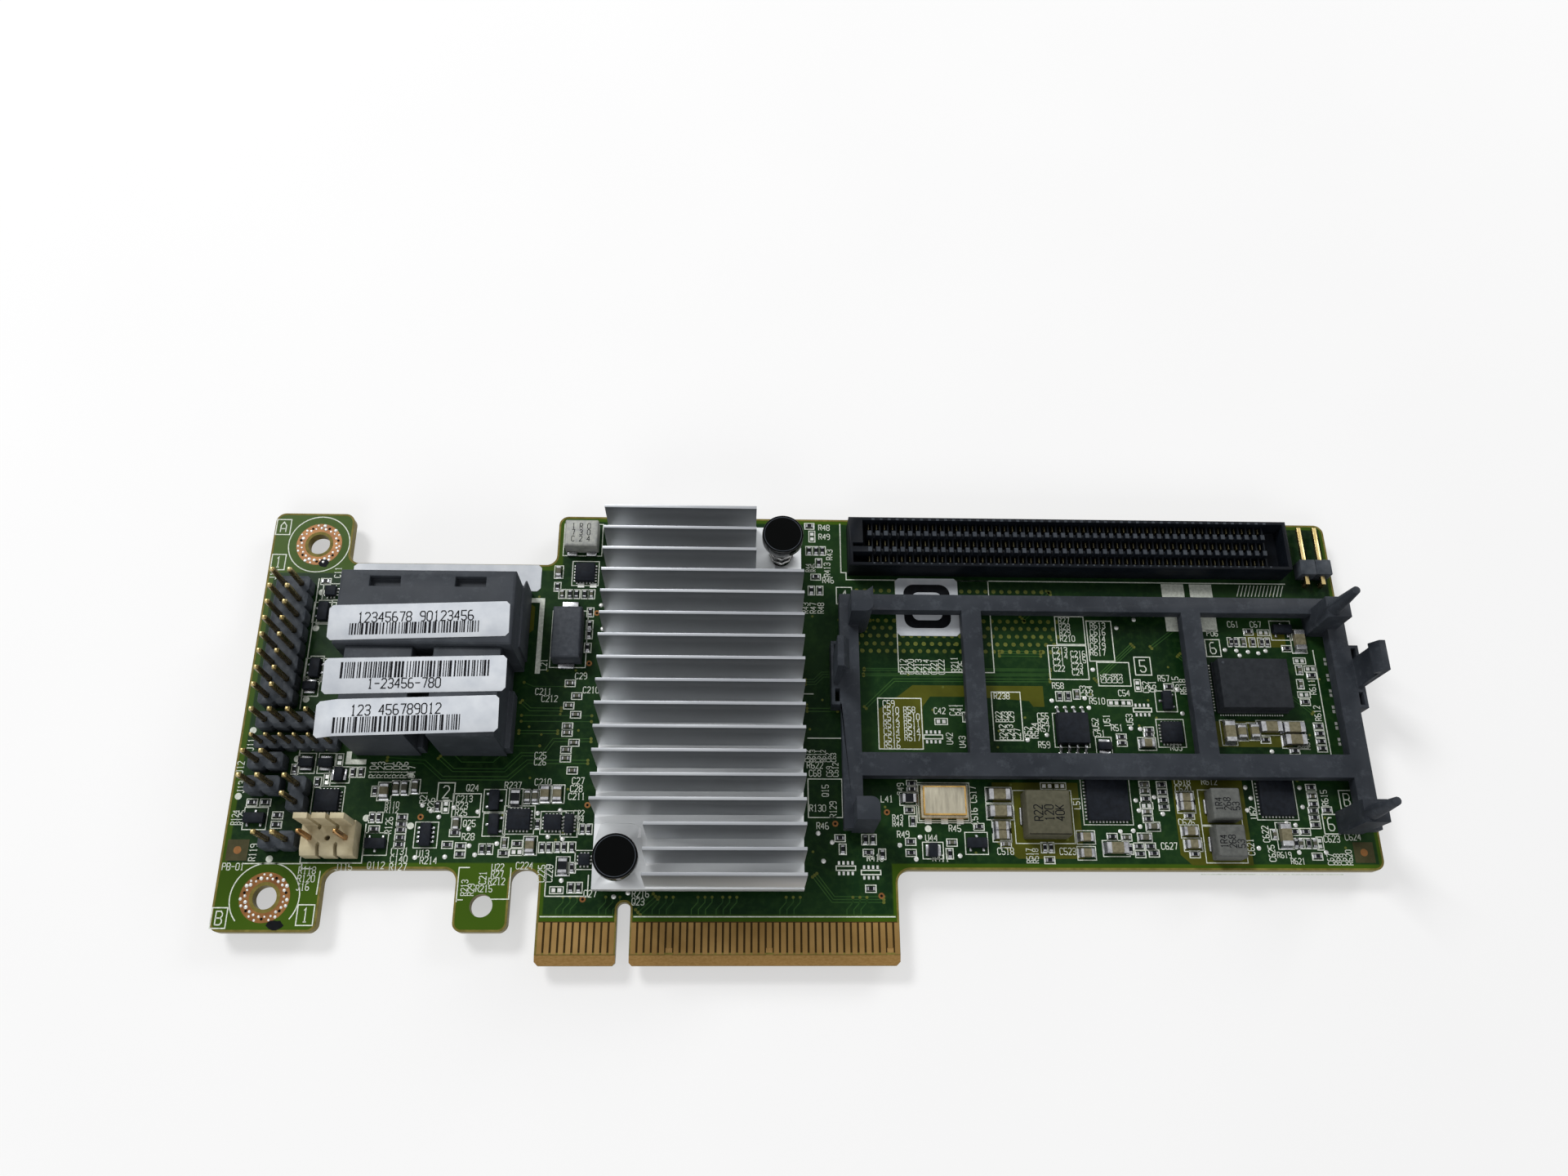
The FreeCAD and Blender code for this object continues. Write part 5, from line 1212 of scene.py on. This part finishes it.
def chip_pads():
    """Stubs round the leadless chips, solder at the memory chip and dots beside the power module."""
    mesh = Mesh()
    for low, high in islands("flat_chips"):
        stubs(mesh, low, high, 0)
        stubs(mesh, low, high, 1)
    *leads, body = by_height("memory_chip")
    for low, high in leads:
        foot = high.y if high.y > body[1].y else low.y
        mesh.bead(middle(low, high)[0], foot, 0.3)
    low, high = box_of("power_module")
    for i in range(16):
        mesh.spot(low.x - 0.22, low.y + 0.5 + i * 0.48, 0.14, "tin", STUB, steps=8)
    for i in range(26):
        mesh.spot(low.x + 0.6 + i * 0.38, low.y - 0.24, 0.13, "tin", STUB, steps=8)
    mesh.spot(low.x + 0.9, high.y - 0.8, 0.22, "plastic", high.z + 0.01)
    mesh.finish("chip_pads")


def part_marks():
    """Plain letters and numbers printed on the inductors."""
    mesh = Mesh()
    marks = [(by_height("large_inductor")[-1], ("R22", "120", "40K"), 1.25, True),
             (by_height("small_inductor")[-1], ("1 R 0", "7 3 0", "C 2 4"), 0.9, False)]
    marks += [(box, ("1R4", "268", "53"), 1.0, True) for box in islands("inductor_pair") if box[1].z > 2]
    for (low, high), words, size, upright in marks:
        x, y = middle(low, high)
        for i, word in enumerate(words):
            across, up = ((i - 0.6) * 1.25, -1) if upright else (-1.6, 0.7 - i * 1.2)
            mesh.write(word, x + across * size, y + up * size, size, upright, "ink", high.z + 0.01)
    mesh.finish("part_marks")


def pin_rim_highlights():
    """A thin grey ring painted flat on the head of each push pin. It is a painted highlight for the shine of
    the rim, not a raised lip.
    """
    mesh = Mesh()
    for place in ("lower", "upper"):
        low, high = box_of("push_pin_" + place)
        rim_highlight_ring = circle(*middle(low, high), 0.45 * (high.x - low.x), 48)
        # Painted highlight: a flat grey line where the rim's shine shows.
        mesh.line(rim_highlight_ring, 0.1, "socket_top", high.z + 0.01, True)
    mesh.finish("push_pin_rim_highlights")


def oscillator_rim():
    """Gilt line round the oscillator's lid."""
    low, high = by_height("oscillator")[-1]
    mesh = Mesh()
    inset = 0.12
    mesh.frame(low.x + inset, high.x - inset, low.y + inset, high.y - inset, 0.2, "rim_gold", high.z + 0.006)
    mesh.finish("oscillator_rim")


def back_side():
    """Solder joints, print and traces on the back of the board."""
    mesh = Mesh()
    joint = [(0.3, 1.1), (0.42, 0.6), (0.62, 0.2), (0.85, 0.02)]
    for node in (*HEADER_PINS, "locking_header_pins"):
        for low, high in islands(node):
            x, y = middle(low, high)
            if node == "side_header_pins":
                y = low.y + 0.32
            mesh.turned(x, y, [(radius, BOARD_BACK - z) for radius, z in joint], "solder", 14)
    for path, count, pitch in BACK_BUSES:
        bus(mesh, path, count, pitch, LOWER)
    for i in range(260):
        mesh.spot(rng.uniform(-44, 106), rng.uniform(15, 58), 0.22, "tented", LONE_VIA, steps=8, side=LOWER)
    low, high = box_of("mezzanine_socket")
    for i in range(50):
        for row in range(3):
            mesh.bead(low.x + 3.26 + i * 1.27, low.y + 1.4 + row * 2.72, 0.3, LOWER, "solder")
    for x, mark in ((-32.8, "2"), (55.2, "5")):
        mesh.frame(x - 1.2, x + 1.2, 22.0, 24.7, 0.16, side=LOWER)
        mesh.write(mark, x + 0.4, 22.45, 1.8, side=LOWER)
    for low, high in islands("back_capacitors"):
        mesh.frame_round(low, high, 0.3, 0.3, LOWER)
    for path in CONTACT_LINES:
        mesh.line(path, 0.16, side=LOWER)
    mesh.finish("board_back")


copper()
outline_rim()
silk()
pads()
mounting_rings()
label_print()
socket_details()
mouth_contacts()
chip_pads()
part_marks()
pin_rim_highlights()
oscillator_rim()
back_side()


# Floor, light and camera. These are in metres.

CARD_CENTRE = (0.026, 0.034, 0)


def seen_plainly(tree):
    """1 for rays from the camera, through glass or off a polished face, and 0 for light on the card."""
    path = tree.nodes.new("ShaderNodeLightPath")
    seen = path.outputs["Is Camera Ray"]
    for kind in ("Is Transmission Ray", "Is Glossy Ray"):
        either = tree.nodes.new("ShaderNodeMath")
        either.operation = "MAXIMUM"
        tree.links.new(seen, either.inputs[0])
        tree.links.new(path.outputs[kind], either.inputs[1])
        seen = either.outputs[0]
    return seen


def floor_material():
    """White ground that takes the card's soft shadow near it and is plain white farther off."""
    shader = Shader("floor_white", 0.0, 0.0, 0.9)
    shader.colour(shader.ramp(shader.noise(0.02, 2.0), (0.3, [0.83] * 3), (0.7, [0.85] * 3)))
    distance = shader.node("ShaderNodeVectorMath", operation="DISTANCE")
    shader.feed(distance.inputs[0], shader.place)
    shader.feed(distance.inputs[1], CARD_CENTRE)
    white = shader.span(distance.outputs["Value"], 0.09, 0.4, 0.5, 0.97, "SMOOTHSTEP")
    glow = shader.node("ShaderNodeEmission")
    mix = shader.node("ShaderNodeMixShader")
    shader.feed(mix.inputs[0], shader.math("MULTIPLY", seen_plainly(shader.tree), white))
    shader.feed(mix.inputs[1], shader.bsdf.outputs[0])
    shader.feed(mix.inputs[2], glow.outputs[0])
    shader.feed(shader.tree.nodes["Material Output"].inputs["Surface"], mix.outputs[0])
    return shader.material


def stage():
    half = 4.0
    mesh = bpy.data.meshes.new("floor")
    corners = [(x, y, cad_low.z) for x, y in ((-half, -half), (half, -half), (half, half), (-half, half))]
    mesh.from_pydata(corners, [], [(0, 1, 2, 3)])
    mesh.materials.append(floor_material())
    floor = bpy.data.objects.new("floor", mesh)
    bpy.context.scene.collection.objects.link(floor)


def lamp(name, place, size, power):
    """A soft lamp that looks at the card."""
    data = bpy.data.lights.new(name, "AREA")
    data.shape = "RECTANGLE"
    data.size, data.size_y = size
    data.energy = power
    made = bpy.data.objects.new(name, data)
    made.location = place
    made.rotation_euler = (Vector(CARD_CENTRE) - made.location).to_track_quat("-Z", "Y").to_euler()
    bpy.context.scene.collection.objects.link(made)


def lights():
    """Soft lamps round the card and a white studio, dimmer where it lights the card."""
    lamp("key", (-0.36, 0.43, 0.62), (0.24, 0.2), 4.2)
    lamp("back_fill", (0.62, 0.62, 0.5), (0.4, 0.3), 2.6)
    lamp("front_fill", (-0.1, -0.6, 0.5), (0.5, 0.3), 1.5)
    world = bpy.data.worlds.new("studio")
    world.use_nodes = True
    tree = world.node_tree
    background = tree.nodes["Background"]
    background.inputs["Color"].default_value = (1, 1, 1, 1)
    strength = tree.nodes.new("ShaderNodeMapRange")
    strength.inputs["To Min"].default_value = 0.34
    tree.links.new(seen_plainly(tree), strength.inputs["Value"])
    tree.links.new(strength.outputs["Result"], background.inputs["Strength"])
    bpy.context.scene.world = world


def camera():
    """The photograph's camera, solved from the pitch of the contacts and the board's edges."""
    data = bpy.data.cameras.new("camera")
    data.sensor_width = 36
    data.lens = 28.58716
    data.clip_start = 0.005
    data.clip_end = 10
    made = bpy.data.objects.new("camera", data)
    made.location = (0.0157076, -0.0174031, 0.1800738)
    made.rotation_euler = [math.radians(a) for a in (22.38825, -2.14953, -0.26755)]
    bpy.context.scene.collection.objects.link(made)
    bpy.context.scene.camera = made


stage()
lights()
camera()
bpy.context.scene.view_settings.view_transform = "Standard"
